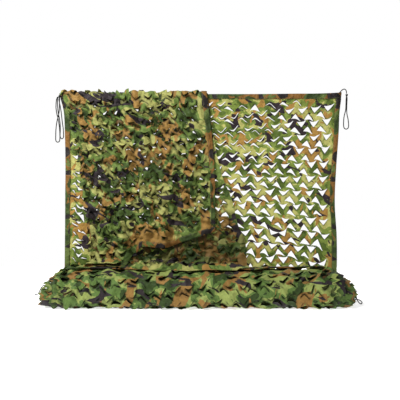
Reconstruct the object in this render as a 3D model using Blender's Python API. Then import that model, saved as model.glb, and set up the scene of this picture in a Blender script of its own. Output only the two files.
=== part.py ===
"""Camouflage net, hung by its top edge, with its lower length rolled up on the floor in front of it.

A doubled drape of the same cloth hangs over the left half of the top edge and runs out on the roll.
Metres, +Z up, X across the net, the viewer in front at -Y. The origin is the middle of the top edge.
"""

import math
from functools import lru_cache

import bmesh
import bpy
from mathutils import Matrix, Vector
from mathutils.geometry import delaunay_2d_cdt

# Driving sizes
NET_WIDTH = 1.50            # bound edge to bound edge, laid flat
HANG_HEIGHT = 1.08          # top edge above the floor
CLOTH = 0.002               # thickness of one sheet
TOUCH = 0.0006              # gap between pieces that touch
BINDING_WIDTH = 0.027       # tape folded over an edge, seen from one side
BINDING_PLY = 0.0014        # thickness of the folded tape
SLIT_PITCH = 0.073          # from one leaf cut to the next like it, across and down, unstretched
DRAPE_WIDTH = 1.50          # the drape's cloth laid flat, before it is folded double
CORD_DIAMETER = 0.005
KNOT_RADIUS = 0.0075
FLOOR = -HANG_HEIGHT

# Where the two side edges of the hung net stand, at each drop below the top edge
NET_EDGES = (
    # drop, left, right
    (0.000, -0.752, 0.755),
    (0.050, -0.737, 0.749),
    (0.104, -0.725, 0.742),
    (0.200, -0.720, 0.738),
    (0.390, -0.716, 0.724),
    (0.560, -0.717, 0.717),
    (0.750, -0.718, 0.728),
    (1.080, -0.722, 0.726),
)

# Soft upright folds of the hung net, each a rise towards the viewer
NET_FOLDS = (
    # across, half_width, rise_at_top, rise_at_foot, lean
    (-0.66, 0.050, 0.003, 0.010, 0.05),
    (-0.30, 0.090, 0.002, 0.012, -0.08),
    (0.16, 0.070, 0.004, 0.014, 0.10),
    (0.40, 0.060, 0.003, 0.016, -0.09),
    (0.56, 0.050, 0.004, 0.011, 0.06),
    (0.67, 0.060, 0.003, 0.005, -0.04),
)

# The drape: its folded left edge, the bound edge of its front layer and the edge of its back layer
DRAPE_EDGES = (
    # drop, left_fold, front_edge, back_edge
    (0.00, -0.735, 0.035, 0.042),
    (0.19, -0.681, 0.058, 0.066),
    (0.35, -0.643, 0.072, 0.095),
    (0.45, -0.632, 0.077, 0.121),
    (0.56, -0.619, 0.079, 0.167),
    (0.70, -0.599, 0.080, 0.201),
    (0.78, -0.589, 0.080, 0.238),
    (0.92, -0.579, 0.080, 0.248),
)

# The hem of the front layer slants down to the left, where the cloth is gathered on to the roll
DRAPE_HEM = (
    # across, drop
    (-0.330, 0.845),
    (-0.307, 0.812),
    (-0.184, 0.818),
    (-0.083, 0.785),
    (0.080, 0.732),
)
GATHER_ACROSS = -0.345      # left of this the front layer runs out on the roll

# Folds of the drape, each a rise towards the viewer of its front layer
DRAPE_FOLDS = (
    # across, half_width, rise_at_top, rise_at_foot, lean
    (-0.63, 0.045, 0.004, 0.014, 0.10),
    (-0.53, 0.045, 0.010, 0.028, 0.06),
    (-0.40, 0.045, 0.006, 0.032, -0.05),
    (-0.29, 0.050, 0.012, 0.026, 0.08),
    (-0.17, 0.042, 0.008, 0.032, -0.06),
    (-0.06, 0.042, 0.014, 0.022, 0.03),
    (0.03, 0.045, 0.010, 0.018, 0.05),
)

# Folds of its back layer, which push the front layer out too
BAND_FOLDS = (
    # across, half_width, rise_at_top, rise_at_foot, lean
    (-0.46, 0.070, 0.000, 0.012, 0.05),
    (-0.22, 0.060, 0.000, 0.014, -0.06),
    (-0.02, 0.055, 0.000, 0.016, 0.04),
    (0.11, 0.045, 0.001, 0.018, 0.10),
    (0.20, 0.045, 0.001, 0.014, 0.16),
)

# How far forward the drape's foot lies over the roll
DRAPE_TAIL = (
    # across, reach
    (-0.58, 0.150),
    (-0.48, 0.185),
    (-0.33, 0.255),
    (-0.12, 0.275),
    (0.08, 0.265),
    (0.20, 0.252),
    (0.25, 0.205),
)

# The roll, section by section: each pair of rows a few millimetres apart is the edge of a turn
ROLL_SECTIONS = (
    # across, back, front, underside, crest
    (-0.786, -0.165, -0.235, 0.026, 0.052),
    (-0.776, -0.140, -0.275, 0.010, 0.070),
    (-0.773, -0.125, -0.300, 0.004, 0.082),
    (-0.755, -0.110, -0.320, 0.000, 0.100),
    (-0.752, -0.098, -0.334, 0.000, 0.110),
    (-0.728, -0.088, -0.346, 0.000, 0.124),
    (-0.725, -0.076, -0.356, 0.000, 0.134),
    (-0.700, -0.066, -0.362, 0.000, 0.150),
    (-0.696, -0.056, -0.370, 0.000, 0.160),
    (-0.665, -0.050, -0.374, 0.000, 0.168),
    (-0.661, -0.042, -0.380, 0.000, 0.175),
    (-0.580, -0.040, -0.382, 0.000, 0.177),
    (-0.450, -0.040, -0.380, 0.000, 0.171),
    (-0.320, -0.038, -0.388, 0.000, 0.175),
    (-0.190, -0.038, -0.392, 0.000, 0.170),
    (-0.060, -0.036, -0.388, 0.000, 0.176),
    (0.070, -0.036, -0.392, 0.000, 0.172),
    (0.200, -0.038, -0.386, 0.000, 0.168),
    (0.330, -0.038, -0.388, 0.000, 0.174),
    (0.460, -0.040, -0.380, 0.000, 0.170),
    (0.580, -0.040, -0.382, 0.000, 0.174),
    (0.640, -0.042, -0.378, 0.000, 0.170),
    (0.644, -0.050, -0.372, 0.000, 0.162),
    (0.678, -0.056, -0.368, 0.000, 0.156),
    (0.682, -0.066, -0.360, 0.000, 0.146),
    (0.708, -0.078, -0.352, 0.000, 0.134),
    (0.712, -0.090, -0.342, 0.000, 0.122),
    (0.732, -0.100, -0.330, 0.004, 0.112),
    (0.735, -0.112, -0.316, 0.010, 0.100),
    (0.750, -0.126, -0.296, 0.020, 0.090),
    (0.753, -0.142, -0.272, 0.028, 0.080),
    (0.764, -0.165, -0.240, 0.038, 0.066),
)

# Soft hollows where the roll is twisted or pressed in
ROLL_TWISTS = (
    # across, around_degrees, lean, half_width, depth
    (-0.60, 150, 0.0016, 0.040, 0.010),
    (-0.44, 130, -0.0012, 0.045, 0.012),
    (-0.27, 160, 0.0014, 0.035, 0.009),
    (-0.02, 140, 0.0010, 0.050, 0.011),
    (0.14, 165, -0.0016, 0.035, 0.010),
    (0.34, 135, 0.0018, 0.045, 0.013),
    (0.52, 155, -0.0010, 0.040, 0.009),
)

# The free end of the net lies along the top of the roll, facing the viewer
ROLL_END_LINE = (
    # across, forward
    (-0.66, -0.265),
    (-0.62, -0.262),
    (-0.43, -0.225),
    (-0.20, -0.205),
    (0.10, -0.215),
    (0.22, -0.240),
    (0.38, -0.218),
    (0.52, -0.180),
    (0.64, -0.165),
)

# The routes of the cords between their knots
TIE_ROUTES = {
    # x, y, z
    "tie_top_left_front": (
        (-0.7585, -0.0125, -0.0230),
        (-0.7630, -0.0150, -0.0420),
        (-0.7645, -0.0150, -0.0780),
        (-0.7600, -0.0150, -0.1090),
        (-0.7545, -0.0150, -0.1310),
        (-0.7495, -0.0150, -0.1575),
        (-0.7455, -0.0150, -0.1895),
        (-0.7438, -0.0150, -0.2250),
        (-0.7440, -0.0150, -0.2460),
        (-0.7475, -0.0145, -0.2560),
        (-0.7555, -0.0135, -0.2600),
        (-0.7635, -0.0120, -0.2560),
        (-0.7672, -0.0105, -0.2460),
        (-0.7675, -0.0090, -0.2250),
        (-0.7665, -0.0075, -0.1895),
        (-0.7630, -0.0070, -0.1575),
        (-0.7565, -0.0070, -0.1280),
        (-0.7500, -0.0075, -0.0990),
        (-0.7475, -0.0090, -0.0615),
        (-0.7465, -0.0115, -0.0340),
    ),
    "tie_top_left_back": (
        (-0.7520, -0.0025, -0.0300),
        (-0.7515, 0.0035, -0.0430),
        (-0.7480, 0.0085, -0.0650),
        (-0.7430, 0.0110, -0.1000),
        (-0.7400, 0.0120, -0.1300),
        (-0.7365, 0.0130, -0.1600),
        (-0.7330, 0.0140, -0.1870),
        (-0.7315, 0.0143, -0.2250),
        (-0.7338, 0.0115, -0.2353),
        (-0.7385, 0.0050, -0.2400),
        (-0.7432, -0.0015, -0.2353),
        (-0.7455, -0.0043, -0.2250),
        (-0.7445, -0.0035, -0.1950),
        (-0.7460, -0.0010, -0.1650),
        (-0.7500, 0.0010, -0.1350),
        (-0.7560, 0.0020, -0.1050),
        (-0.7600, 0.0030, -0.0720),
        (-0.7610, 0.0025, -0.0430),
        (-0.7585, -0.0010, -0.0220),
    ),
    "tie_top_right_bend": (
        (0.7465, -0.0110, 0.0085),
        (0.7580, -0.0110, 0.0195),
        (0.7690, -0.0105, 0.0225),
        (0.7775, -0.0100, 0.0140),
    ),
    "tie_top_right_loop": (
        (0.7765, -0.0130, -0.0280),
        (0.7755, -0.0130, -0.0560),
        (0.7740, -0.0130, -0.0880),
        (0.7690, -0.0130, -0.1080),
        (0.7645, -0.0130, -0.1300),
        (0.7628, -0.0130, -0.1590),
        (0.7635, -0.0130, -0.1765),
        (0.7675, -0.0125, -0.1860),
        (0.7768, -0.0110, -0.1905),
        (0.7862, -0.0095, -0.1860),
        (0.7902, -0.0090, -0.1765),
        (0.7905, -0.0080, -0.1590),
        (0.7875, -0.0070, -0.1340),
        (0.7825, -0.0065, -0.1100),
        (0.7810, -0.0065, -0.0840),
        (0.7820, -0.0065, -0.0540),
        (0.7830, -0.0070, -0.0290),
    ),
    "tie_roll_left": (
        (-0.7860, -0.1530, -0.9990),
        (-0.8060, -0.1120, -1.0060),
        (-0.8300, -0.0700, -1.0290),
        (-0.8520, -0.0300, -1.0560),
        (-0.8740, 0.0100, -1.0735),
        (-0.8960, 0.0460, -1.0768),
    ),
    "tie_roll_right": (
        (0.7755, -0.1810, -1.0300),
        (0.7830, -0.1520, -1.0540),
        (0.7865, -0.1300, -1.0690),
        (0.7930, -0.1165, -1.0755),
        (0.8040, -0.1145, -1.0768),
        (0.8120, -0.1260, -1.0768),
        (0.8135, -0.1530, -1.0768),
        (0.8090, -0.1900, -1.0768),
        (0.8000, -0.2220, -1.0768),
        (0.7900, -0.2420, -1.0765),
        (0.7790, -0.2505, -1.0705),
        (0.7715, -0.2460, -1.0590),
        (0.7695, -0.2330, -1.0430),
        (0.7715, -0.2180, -1.0240),
    ),
}


def table_at(table, at):
    """The other columns of a table's row at a value of its first column, on a smooth curve."""
    at = min(max(at, table[0][0]), table[-1][0])
    low = 0
    while low < len(table) - 2 and at > table[low + 1][0]:
        low += 1
    rows = (table[max(low - 1, 0)], table[low], table[low + 1], table[min(low + 2, len(table) - 1)])
    span = rows[2][0] - rows[1][0]
    part = (at - rows[1][0]) / span
    values = []
    for column in range(1, len(rows[0])):
        before, start, stop, after = (row[column] for row in rows)
        slope_start = (stop - before) / (rows[2][0] - rows[0][0]) * span
        slope_stop = (after - start) / (rows[3][0] - rows[1][0]) * span
        values.append(
            (2 * part**3 - 3 * part**2 + 1) * start
            + (part**3 - 2 * part**2 + part) * slope_start
            + (3 * part**2 - 2 * part**3) * stop
            + (part**3 - part**2) * slope_stop
        )
    return values


def ease(value):
    """A smooth step from 0 to 1."""
    value = min(max(value, 0.0), 1.0)
    return value * value * (3 - 2 * value)


def mix(start, stop, part):
    return start + (stop - start) * part


def rise_of(folds, across, drop):
    """How far a set of soft folds stands forward at a place."""
    total = 0.0
    for centre, half_width, at_top, at_foot, lean in folds:
        offset = (across - centre - lean * (drop - HANG_HEIGHT / 2)) / half_width
        total += mix(at_top, at_foot, drop / HANG_HEIGHT) * math.exp(-offset * offset)
    return total


def make_material(name, colour, roughness):
    material = bpy.data.materials.new(name)
    material.use_nodes = True
    shader = material.node_tree.nodes["Principled BSDF"]
    shader.inputs["Base Color"].default_value = (*colour, 1.0)
    shader.inputs["Roughness"].default_value = roughness
    shader.inputs["Metallic"].default_value = 0.0
    return material


def add_object(name, points, faces, material):
    """An object of one mesh, its faces turned the same way round."""
    mesh = bpy.data.meshes.new(name)
    mesh.from_pydata([tuple(point) for point in points], [], faces)
    work = bmesh.new()
    work.from_mesh(mesh)
    bmesh.ops.recalc_face_normals(work, faces=work.faces)
    work.to_mesh(mesh)
    work.free()
    mesh.materials.append(material)
    thing = bpy.data.objects.new(name, mesh)
    bpy.context.scene.collection.objects.link(thing)
    return thing


def thicken(thing, thickness):
    solidify = thing.modifiers.new("thickness", "SOLIDIFY")
    solidify.thickness = thickness
    solidify.offset = 0.0
    solidify.use_even_offset = True
    solidify.use_quality_normals = True


def loft(name, sections, material):
    """A closed solid through closed sections that have the same number of points."""
    count = len(sections[0])
    points = [point for section in sections for point in section]
    faces = []
    for low in range(len(sections) - 1):
        for side in range(count):
            following = (side + 1) % count
            faces.append((
                low * count + side,
                low * count + following,
                (low + 1) * count + following,
                (low + 1) * count + side,
            ))
    faces.append(tuple(reversed(range(count))))
    faces.append(tuple((len(sections) - 1) * count + side for side in range(count)))
    return add_object(name, points, faces, material)


# The hung net and its roll: one sheet of slit cloth

FOOT_BEND = 0.040                                   # radius in which the net turns forward on the floor
FOOT_LIFT = 0.0005                                  # its underside above the floor
STRAIGHT_FALL = HANG_HEIGHT - FOOT_BEND - CLOTH / 2 - FOOT_LIFT
FOOT_RUN = 0.130                                    # from the bend to the end inside the roll
NET_LENGTH = STRAIGHT_FALL + FOOT_BEND * math.pi / 2 + FOOT_RUN
TOP_SAG = 0.004                                     # the top edge hangs this far between its corners
CORNER_LIFT = 0.006                                 # and its right corner is pulled up this far


def top_line(across_part):
    """The height of the net's top edge, from its right corner at 0 to its left one at 1."""
    across_part = min(max(across_part, 0.0), 1.0)
    corner = math.exp(-across_part * NET_WIDTH / 0.05)
    return CORNER_LIFT * corner - TOP_SAG * math.sin(math.pi * across_part)


def net_place(from_right, along):
    """The middle of the net's cloth at a place given on the flat net."""
    across_part = from_right / NET_WIDTH
    left, right = table_at(NET_EDGES, along)
    gather = 0.11 * (1 - ease(along / 0.7))
    across_part -= gather * across_part * math.exp(-across_part / 0.2)
    across = mix(right, left, across_part)
    pull = 0.08 * (0.5 - ease(from_right / 0.5)) * ease((1.04 - along) / 0.17)
    fallen = along * (1 + pull)
    bend = min(max(fallen - STRAIGHT_FALL, 0.0) / FOOT_BEND, math.pi / 2)
    beyond = max(fallen - STRAIGHT_FALL - FOOT_BEND * math.pi / 2, 0.0)
    drop = min(fallen, STRAIGHT_FALL) + FOOT_BEND * math.sin(bend)
    forward = FOOT_BEND * (1 - math.cos(bend)) + beyond
    lift = top_line(across_part) * (1 - ease(drop / 0.3))
    return Vector((across, -rise_of(NET_FOLDS, across, drop) - forward, lift - drop))


def place_out(place, from_right, along, out):
    """A place off the middle of a sheet, out towards the viewer; place gives the sheet's middle."""
    step = 0.002
    sideways = place(from_right - step, along) - place(from_right + step, along)
    down = place(from_right, along + step) - place(from_right, along - step)
    return place(from_right, along) + sideways.cross(down).normalized() * -out


def slit_opening(from_right, along):
    """How far the leaf cuts gape: barely in the slack cloth at the upper left, wide elsewhere."""
    slack = ease((from_right - 0.20) / 0.25) * (1 - ease((along - 0.22) / 0.35))
    return 1 - slack


def leaf_cuts():
    """The gaps of the single-thickness parts, each a list of places on the flat net."""
    cuts = []
    inner = BINDING_WIDTH + 0.006
    for row in range(-2, int(HANG_HEIGHT / SLIT_PITCH) + 2):
        for half_step in range(int(2 * NET_WIDTH / SLIT_PITCH) + 1):
            from_right = (half_step + 0.9) * SLIT_PITCH / 2
            along = (row + 0.65) * SLIT_PITCH + 0.09 * (from_right - 0.4)
            opening = slit_opening(from_right, along)
            gape = 0.08 + 0.25 * opening
            if half_step % 2:
                shape = ((-0.26, 0.16), (0.0, 0.0), (0.42, 0.42), (0.08, gape + 0.02))
            else:
                shape = ((0.47, -0.38), (0.0, 0.0), (-0.25, -0.18), (0.08, -gape - 0.02))
            cut = [(from_right - right * SLIT_PITCH, along - up * SLIT_PITCH) for right, up in shape]
            middle = net_place(from_right, along)
            left_fold, _front, back_edge = table_at(DRAPE_EDGES, -middle.z)
            bare = middle.x > back_edge + 0.008 or (middle.x < left_fold - 0.012 and middle.z < -0.25)
            inside = all(
                inner < place[0] < NET_WIDTH - inner and inner < place[1] < STRAIGHT_FALL - 0.03
                for place in cut
            )
            if bare and inside:
                cuts.append(cut)
    return cuts


ACROSS_STATIONS = 26
DOWN_STATIONS = 20


def net_stations():
    """Places along the edges of the flat net where its bindings and the sheet share their corners."""
    across = [NET_WIDTH * step / ACROSS_STATIONS for step in range(ACROSS_STATIONS + 1)]
    down = [STRAIGHT_FALL * step / DOWN_STATIONS for step in range(DOWN_STATIONS + 1)]
    return across, down


def build_net(cloth):
    """The sheet with its cuts; the places within it only carry its folds."""
    across, down = net_stations()
    foot = [STRAIGHT_FALL + FOOT_BEND * math.pi / 2 * step / 3 for step in (1, 2, 3)]
    down = down + foot + [NET_LENGTH]
    inner = BINDING_WIDTH + 0.003
    outline = [(from_right, 0.0) for from_right in across]
    outline += [(NET_WIDTH, along) for along in down[1:]]
    outline += [(from_right, NET_LENGTH) for from_right in reversed(across[:-1])]
    outline += [(0.0, along) for along in reversed(down[1:-1])]
    places = list(outline)
    faces = [list(range(len(outline)))]
    for cut in leaf_cuts():
        faces.append(list(range(len(places), len(places) + len(cut))))
        places += cut
    places += [(from_right, inner) for from_right in across[1:-1]]
    for along in down[1:-1]:
        places += [(inner, along), (NET_WIDTH - inner, along)]
    covered = across[12:-2]
    bare = across[2:12]
    for along in down[2:-1:2]:
        places += [(from_right, along) for from_right in covered]
    for along in down[-6:-1]:
        places += [(from_right, along) for from_right in bare]
    places = [Vector(place) for place in places]
    flat, _edges, triangles, _verts_from, _edges_from, faces_from = delaunay_2d_cdt(
        places, [], faces, 1, 1e-6
    )
    kept = [triangle for triangle, origins in zip(triangles, faces_from) if max(origins) == 0]
    used = sorted({corner for triangle in kept for corner in triangle})
    number = {corner: index for index, corner in enumerate(used)}
    points = [net_place(*flat[corner]) for corner in used]
    net = add_object("net", points, [tuple(number[c] for c in triangle) for triangle in kept], cloth)
    thicken(net, CLOTH)
    return net


ROLL_STATION_GAP = 0.045    # the roll's sections stand no further apart than this
ROLL_SIDES = 24
END_STEP = 0.006            # the free end stands this proud of the turn under it


def roll_stations():
    """Where the sections of the roll stand."""
    stations = []
    for low, high in zip(ROLL_SECTIONS, ROLL_SECTIONS[1:]):
        count = math.ceil((high[0] - low[0]) / ROLL_STATION_GAP)
        stations += [mix(low[0], high[0], step / count) for step in range(count)]
    return stations + [ROLL_SECTIONS[-1][0]]


def has_end_line(across):
    return ROLL_END_LINE[0][0] <= across <= ROLL_END_LINE[-1][0]


@lru_cache(maxsize=None)
def roll_section(across):
    """The closed outline of the roll at one station, as places forward and heights above the floor."""
    row = 0
    while row < len(ROLL_SECTIONS) - 2 and across >= ROLL_SECTIONS[row + 1][0]:
        row += 1
    low, high = ROLL_SECTIONS[row:row + 2]
    part = (across - low[0]) / (high[0] - low[0])
    back, front, underside, crest = (mix(start, stop, part) for start, stop in zip(low[1:], high[1:]))
    middle = -(back + front) / 2
    half_depth = (back - front) / 2
    half_height = (crest - underside) / 2
    points = []
    for step in range(ROLL_SIDES):
        turn = 2 * math.pi * (step + 0.5) / ROLL_SIDES
        hollow = 0.0
        for centre, around, lean, half_width, depth in ROLL_TWISTS:
            degrees = math.degrees(turn)
            offset = (across - centre - lean * (degrees - around)) / half_width
            near = math.exp(-((degrees - around) / 45) ** 2)
            hollow += depth * near * math.exp(-offset * offset)
        scale = 1 - hollow / max(half_height, 0.03)
        forward = middle - half_depth * scale * math.copysign(abs(math.cos(turn)) ** 0.8, math.cos(turn))
        height = half_height * scale * math.copysign(abs(math.sin(turn)) ** 0.8, math.sin(turn))
        points.append((forward, underside + half_height + height))
    end_line = -table_at(ROLL_END_LINE, across)[0]
    end_line = min(max(end_line, points[0][0] + 0.012), points[ROLL_SIDES // 2][0] - 0.012)
    top = [point for point in points[:ROLL_SIDES // 2]]
    rest = points[ROLL_SIDES // 2:]
    height = height_at(top, end_line)
    lift = END_STEP if has_end_line(across) else 0.0
    behind = [(forward, up + lift) for forward, up in top if forward < end_line - 0.001]
    before = [point for point in top if point[0] > end_line + 0.001]
    step_points = [(end_line - 0.0005, height + lift), (end_line + 0.0005, height)]
    while len(behind) + len(before) < len(top):
        before.insert(0, step_points[1])
    outline = behind + step_points + before + rest
    flat = underside < 0.003
    return [(forward, 0.0 if flat and up < 0.010 else max(up, 0.0)) for forward, up in outline]


def height_at(line, forward):
    """The greatest height of an open or closed line at a place forward."""
    best = 0.0
    for start, stop in zip(line, line[1:]):
        low, high = sorted((start, stop))
        if low[0] <= forward <= high[0] and high[0] > low[0]:
            best = max(best, mix(low[1], high[1], (forward - low[0]) / (high[0] - low[0])))
    return best


STATIONS = roll_stations()


def roll_top(across, forward):
    """The height above the floor of the roll's upper side."""
    low = 0
    while low < len(STATIONS) - 2 and across > STATIONS[low + 1]:
        low += 1
    part = (across - STATIONS[low]) / (STATIONS[low + 1] - STATIONS[low])
    part = min(max(part, 0.0), 1.0)
    sides = [height_at(roll_section(STATIONS[at]), forward) for at in (low, low + 1)]
    return mix(sides[0], sides[1], part)


def build_roll(cloth):
    sections = []
    for across in STATIONS:
        sections.append([(across, -forward, up + FLOOR) for forward, up in roll_section(across)])
    return loft("roll_form", sections, cloth)


# The drape: a second length of the cloth, folded double along its middle. It hangs over the top
# edge, its front layer ends in a bound hem, and its foot lies out over the roll.

DRAPE_BACK_OFF = 0.0062     # middle of its back layer in front of the middle of the net
LAYER_GAP = 0.0053          # from there to the middle of its front layer, where no fold stands
OVER_TOP = 0.030            # length that lies over the top edge
BEHIND_TOP = 0.060          # and that hangs down behind it
OVER_CENTRE = 0.0009        # middle of its turn above the net's top edge
FOLD_TURN = 0.012           # cloth on either side of its folded edge that makes the turn
FALL_DROP = 0.87            # about where it meets the roll
FALL_RADIUS = 0.050         # in which it turns forward there
LAID_OFF = 0.0055           # middle of its cloth above the roll
SETTLED_OFF = 0.0021        # and at its end
LAID_BIND = 0.0036          # the roll's end binding stands this far above the roll
LAID_CLEAR = 0.018          # the foot clears an edge for this far on either side
EDGE_CLEAR = 0.022          # and the edge of the roll's end for this far, down to its own end
BESIDE_CLEAR = 0.012        # and what stands up beside it
FOLDED_LENGTH = DRAPE_WIDTH / 2


def drape_column(from_edge, drop):
    """Where a lengthwise line of the drape hangs at a drop, and its layer: 1 in front, 0 at the back."""
    left_fold, front_edge, back_edge = table_at(DRAPE_EDGES, drop)
    spread = LAYER_GAP + rise_of(DRAPE_FOLDS, left_fold, drop)
    turned = left_fold + spread / 2
    flat_width = FOLDED_LENGTH - FOLD_TURN
    if from_edge < flat_width:
        return mix(front_edge, turned, from_edge / flat_width), 1.0
    if from_edge > FOLDED_LENGTH + FOLD_TURN:
        return mix(turned, back_edge, (from_edge - FOLDED_LENGTH - FOLD_TURN) / flat_width), 0.0
    angle = math.pi / 2 * (1 + (from_edge - FOLDED_LENGTH) / FOLD_TURN)
    return turned - spread / 2 * math.sin(angle), (1 + math.cos(angle)) / 2


def drape_forward(across, drop, layer):
    """How far in front of the top edge's plane the drape hangs."""
    back = DRAPE_BACK_OFF + rise_of(NET_FOLDS, across, drop) + rise_of(BAND_FOLDS, across, drop)
    return back + layer * (LAYER_GAP + rise_of(DRAPE_FOLDS, across, drop))


def laid_height(across, forward, layer):
    """The height of the drape where it lies on the roll."""
    to_end = max(table_at(DRAPE_TAIL, across)[0] - forward, 0.0)
    settled = 1 - ease(to_end / 0.045)
    end_line = -table_at(ROLL_END_LINE, across)[0]
    under = 0.0
    for side in (-1.0, -0.5, 0.0, 0.5, 1.0):
        place = forward + side * LAID_CLEAR * (1 - settled)
        height = max(roll_top(across + beside, place) for beside in (-BESIDE_CLEAR, 0.0, BESIDE_CLEAR))
        if has_end_line(across) and end_line - BINDING_WIDTH - EDGE_CLEAR < place < end_line + EDGE_CLEAR:
            height += LAID_BIND + (END_STEP if place > end_line else 0.0)
        under = max(under, height)
    pushed = 0.35 * rise_of(BAND_FOLDS, across, HANG_HEIGHT)
    doubled = layer * (LAYER_GAP + 0.3 * rise_of(DRAPE_FOLDS, across, HANG_HEIGHT))
    return under + mix(LAID_OFF + pushed, SETTLED_OFF, settled) + doubled + FLOOR


def drape_turn(from_edge):
    """Where a lengthwise line of the drape turns forward: drop, place forward and height turned to."""
    across, layer = drape_column(from_edge, FALL_DROP)
    forward = drape_forward(across, FALL_DROP, layer)
    drop = -laid_height(across, forward + FALL_RADIUS, layer) - FALL_RADIUS
    across, layer = drape_column(from_edge, min(drop, FALL_DROP))
    forward = drape_forward(across, drop, layer)
    across = drape_column(from_edge, FALL_DROP)[0]
    return drop, forward, laid_height(across, forward + FALL_RADIUS, layer)


def drape_place(from_edge, along):
    """The middle of the drape's cloth, at a distance from its bound edge and along from the top edge."""
    turn_drop, turn_forward, turn_height = drape_turn(from_edge)
    drop = max(along, 0.0)
    across, layer = drape_column(from_edge, min(drop, FALL_DROP))
    net_right, net_left = NET_EDGES[0][2], NET_EDGES[0][1]
    top = top_line((net_right - across) / (net_right - net_left)) + OVER_CENTRE
    if along <= 0.0:
        turn = math.pi * min(-along / OVER_TOP, 1.0)
        hung = max(-along - OVER_TOP, 0.0)
        plain = mix(DRAPE_BACK_OFF, DRAPE_BACK_OFF + LAYER_GAP, layer)
        out = drape_forward(across, 0.0, layer) - rise_of(NET_FOLDS, across, 0.0)
        high = plain + 0.35 * (out - plain)
        forward = (out if turn < math.pi / 2 else plain) * math.cos(turn)
        forward += rise_of(NET_FOLDS, across, 0.0)
        return Vector((across, -forward, top + high * math.sin(turn) - hung))
    if drop <= turn_drop:
        forward = drape_forward(across, drop, layer)
        return Vector((across, -forward, top * (1 - ease(drop / 0.1)) - drop))
    turn = (drop - turn_drop) / FALL_RADIUS
    if turn < math.pi / 2:
        forward = turn_forward + FALL_RADIUS * (1 - math.cos(turn))
        return Vector((across, -forward, mix(-turn_drop, turn_height, math.sin(turn))))
    forward = turn_forward + drop - turn_drop - FALL_RADIUS * (math.pi / 2 - 1)
    return Vector((across, -forward, laid_height(across, forward, layer)))


# Crosswise rows of the drape, from its end behind the net to its foot
BEHIND_ROWS = 2
OVER_ROWS = 4
FALL_ROWS = 8
TURN_ROWS = 3
LAID_ROWS = 6
HUNG_ROWS = FALL_ROWS + TURN_ROWS + LAID_ROWS
LAST_ROW = BEHIND_ROWS + OVER_ROWS + HUNG_ROWS
HEM_ROW = BINDING_WIDTH + 0.003     # from the last row to the one before


def gathered(from_edge):
    """1 where the drape runs out on the roll, 0 where its front layer ends in the hem."""
    across, layer = drape_column(from_edge, FALL_DROP)
    return ease((GATHER_ACROSS - across) / 0.09) if layer > 0.99 else 1.0


def drape_row(from_edge, row):
    """How far along the drape one of its rows lies."""
    if row <= BEHIND_ROWS:
        return -OVER_TOP - BEHIND_TOP * (BEHIND_ROWS - row) / BEHIND_ROWS
    row -= BEHIND_ROWS
    if row <= OVER_ROWS:
        return -OVER_TOP * (OVER_ROWS - row) / OVER_ROWS
    row -= OVER_ROWS
    across = drape_column(from_edge, FALL_DROP)[0]
    hem = table_at(DRAPE_HEM, across)[0]
    last = hem if row == HUNG_ROWS else mix(0.0, hem - HEM_ROW, row / (HUNG_ROWS - 1))
    turn_drop, turn_forward, _turn_height = drape_turn(from_edge)
    laid = turn_drop + FALL_RADIUS * math.pi / 2
    foot = laid + table_at(DRAPE_TAIL, across)[0] - turn_forward - FALL_RADIUS
    if row <= FALL_ROWS:
        full = turn_drop * row / FALL_ROWS
    elif row <= FALL_ROWS + TURN_ROWS:
        full = mix(turn_drop, laid, (row - FALL_ROWS) / TURN_ROWS)
    elif row < HUNG_ROWS:
        full = mix(laid, foot - HEM_ROW, (row - FALL_ROWS - TURN_ROWS) / (LAID_ROWS - 1))
    else:
        full = foot
    return mix(last, full, gathered(from_edge))


def drape_columns():
    """The drape's lengthwise lines, by their distance from its bound edge."""
    flat_width = FOLDED_LENGTH - FOLD_TURN
    columns = [0.0, BINDING_WIDTH] + [mix(BINDING_WIDTH, flat_width, step / 21) for step in range(1, 22)]
    columns += [FOLDED_LENGTH - FOLD_TURN + 2 * FOLD_TURN * step / 4 for step in range(1, 5)]
    start = FOLDED_LENGTH + FOLD_TURN
    return columns + [mix(start, DRAPE_WIDTH, step / 15) for step in range(1, 16)]


def build_drape(cloth):
    columns = drape_columns()
    rows = range(LAST_ROW + 1)
    points = [drape_place(column, drape_row(column, row)) for column in columns for row in rows]
    faces = []
    for column in range(len(columns) - 1):
        for row in range(LAST_ROW):
            corner = column * (LAST_ROW + 1) + row
            faces.append((corner, corner + 1, corner + LAST_ROW + 2, corner + LAST_ROW + 1))
    drape = add_object("front_drape", points, faces, cloth)
    thicken(drape, CLOTH)


# Bindings: tape folded over an edge, a channel with the sheet's edge in it

def channel(place_at, stations, name, material, room=TOUCH):
    """A folded tape along an edge; place_at gives the place at a station, in from the edge, and out."""
    inside = CLOTH / 2 + room
    outside = inside + BINDING_PLY
    shape = (
        (BINDING_WIDTH, outside),
        (-TOUCH - BINDING_PLY, outside),
        (-TOUCH - BINDING_PLY, -outside),
        (BINDING_WIDTH, -outside),
        (BINDING_WIDTH, -inside),
        (-TOUCH, -inside),
        (-TOUCH, inside),
        (BINDING_WIDTH, inside),
    )
    sections = [[place_at(station, inward, out) for inward, out in shape] for station in stations]
    return loft(name, sections, material)


def build_net_bindings(tape):
    across, down = net_stations()
    start = BINDING_WIDTH + 2 * TOUCH
    sides = [start] + down[1:]
    channel(lambda at, inward, out: place_out(net_place, at, inward, out), across, "top_binding", tape)
    channel(lambda at, inward, out: place_out(net_place, inward, at, out), sides, "right_binding", tape)
    channel(
        lambda at, inward, out: place_out(net_place, NET_WIDTH - inward, at, out),
        sides, "left_binding", tape,
    )


DRAPE_ROOM = 0.0011         # between the drape's cloth and its tape, whose straight sides span the folds


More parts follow.
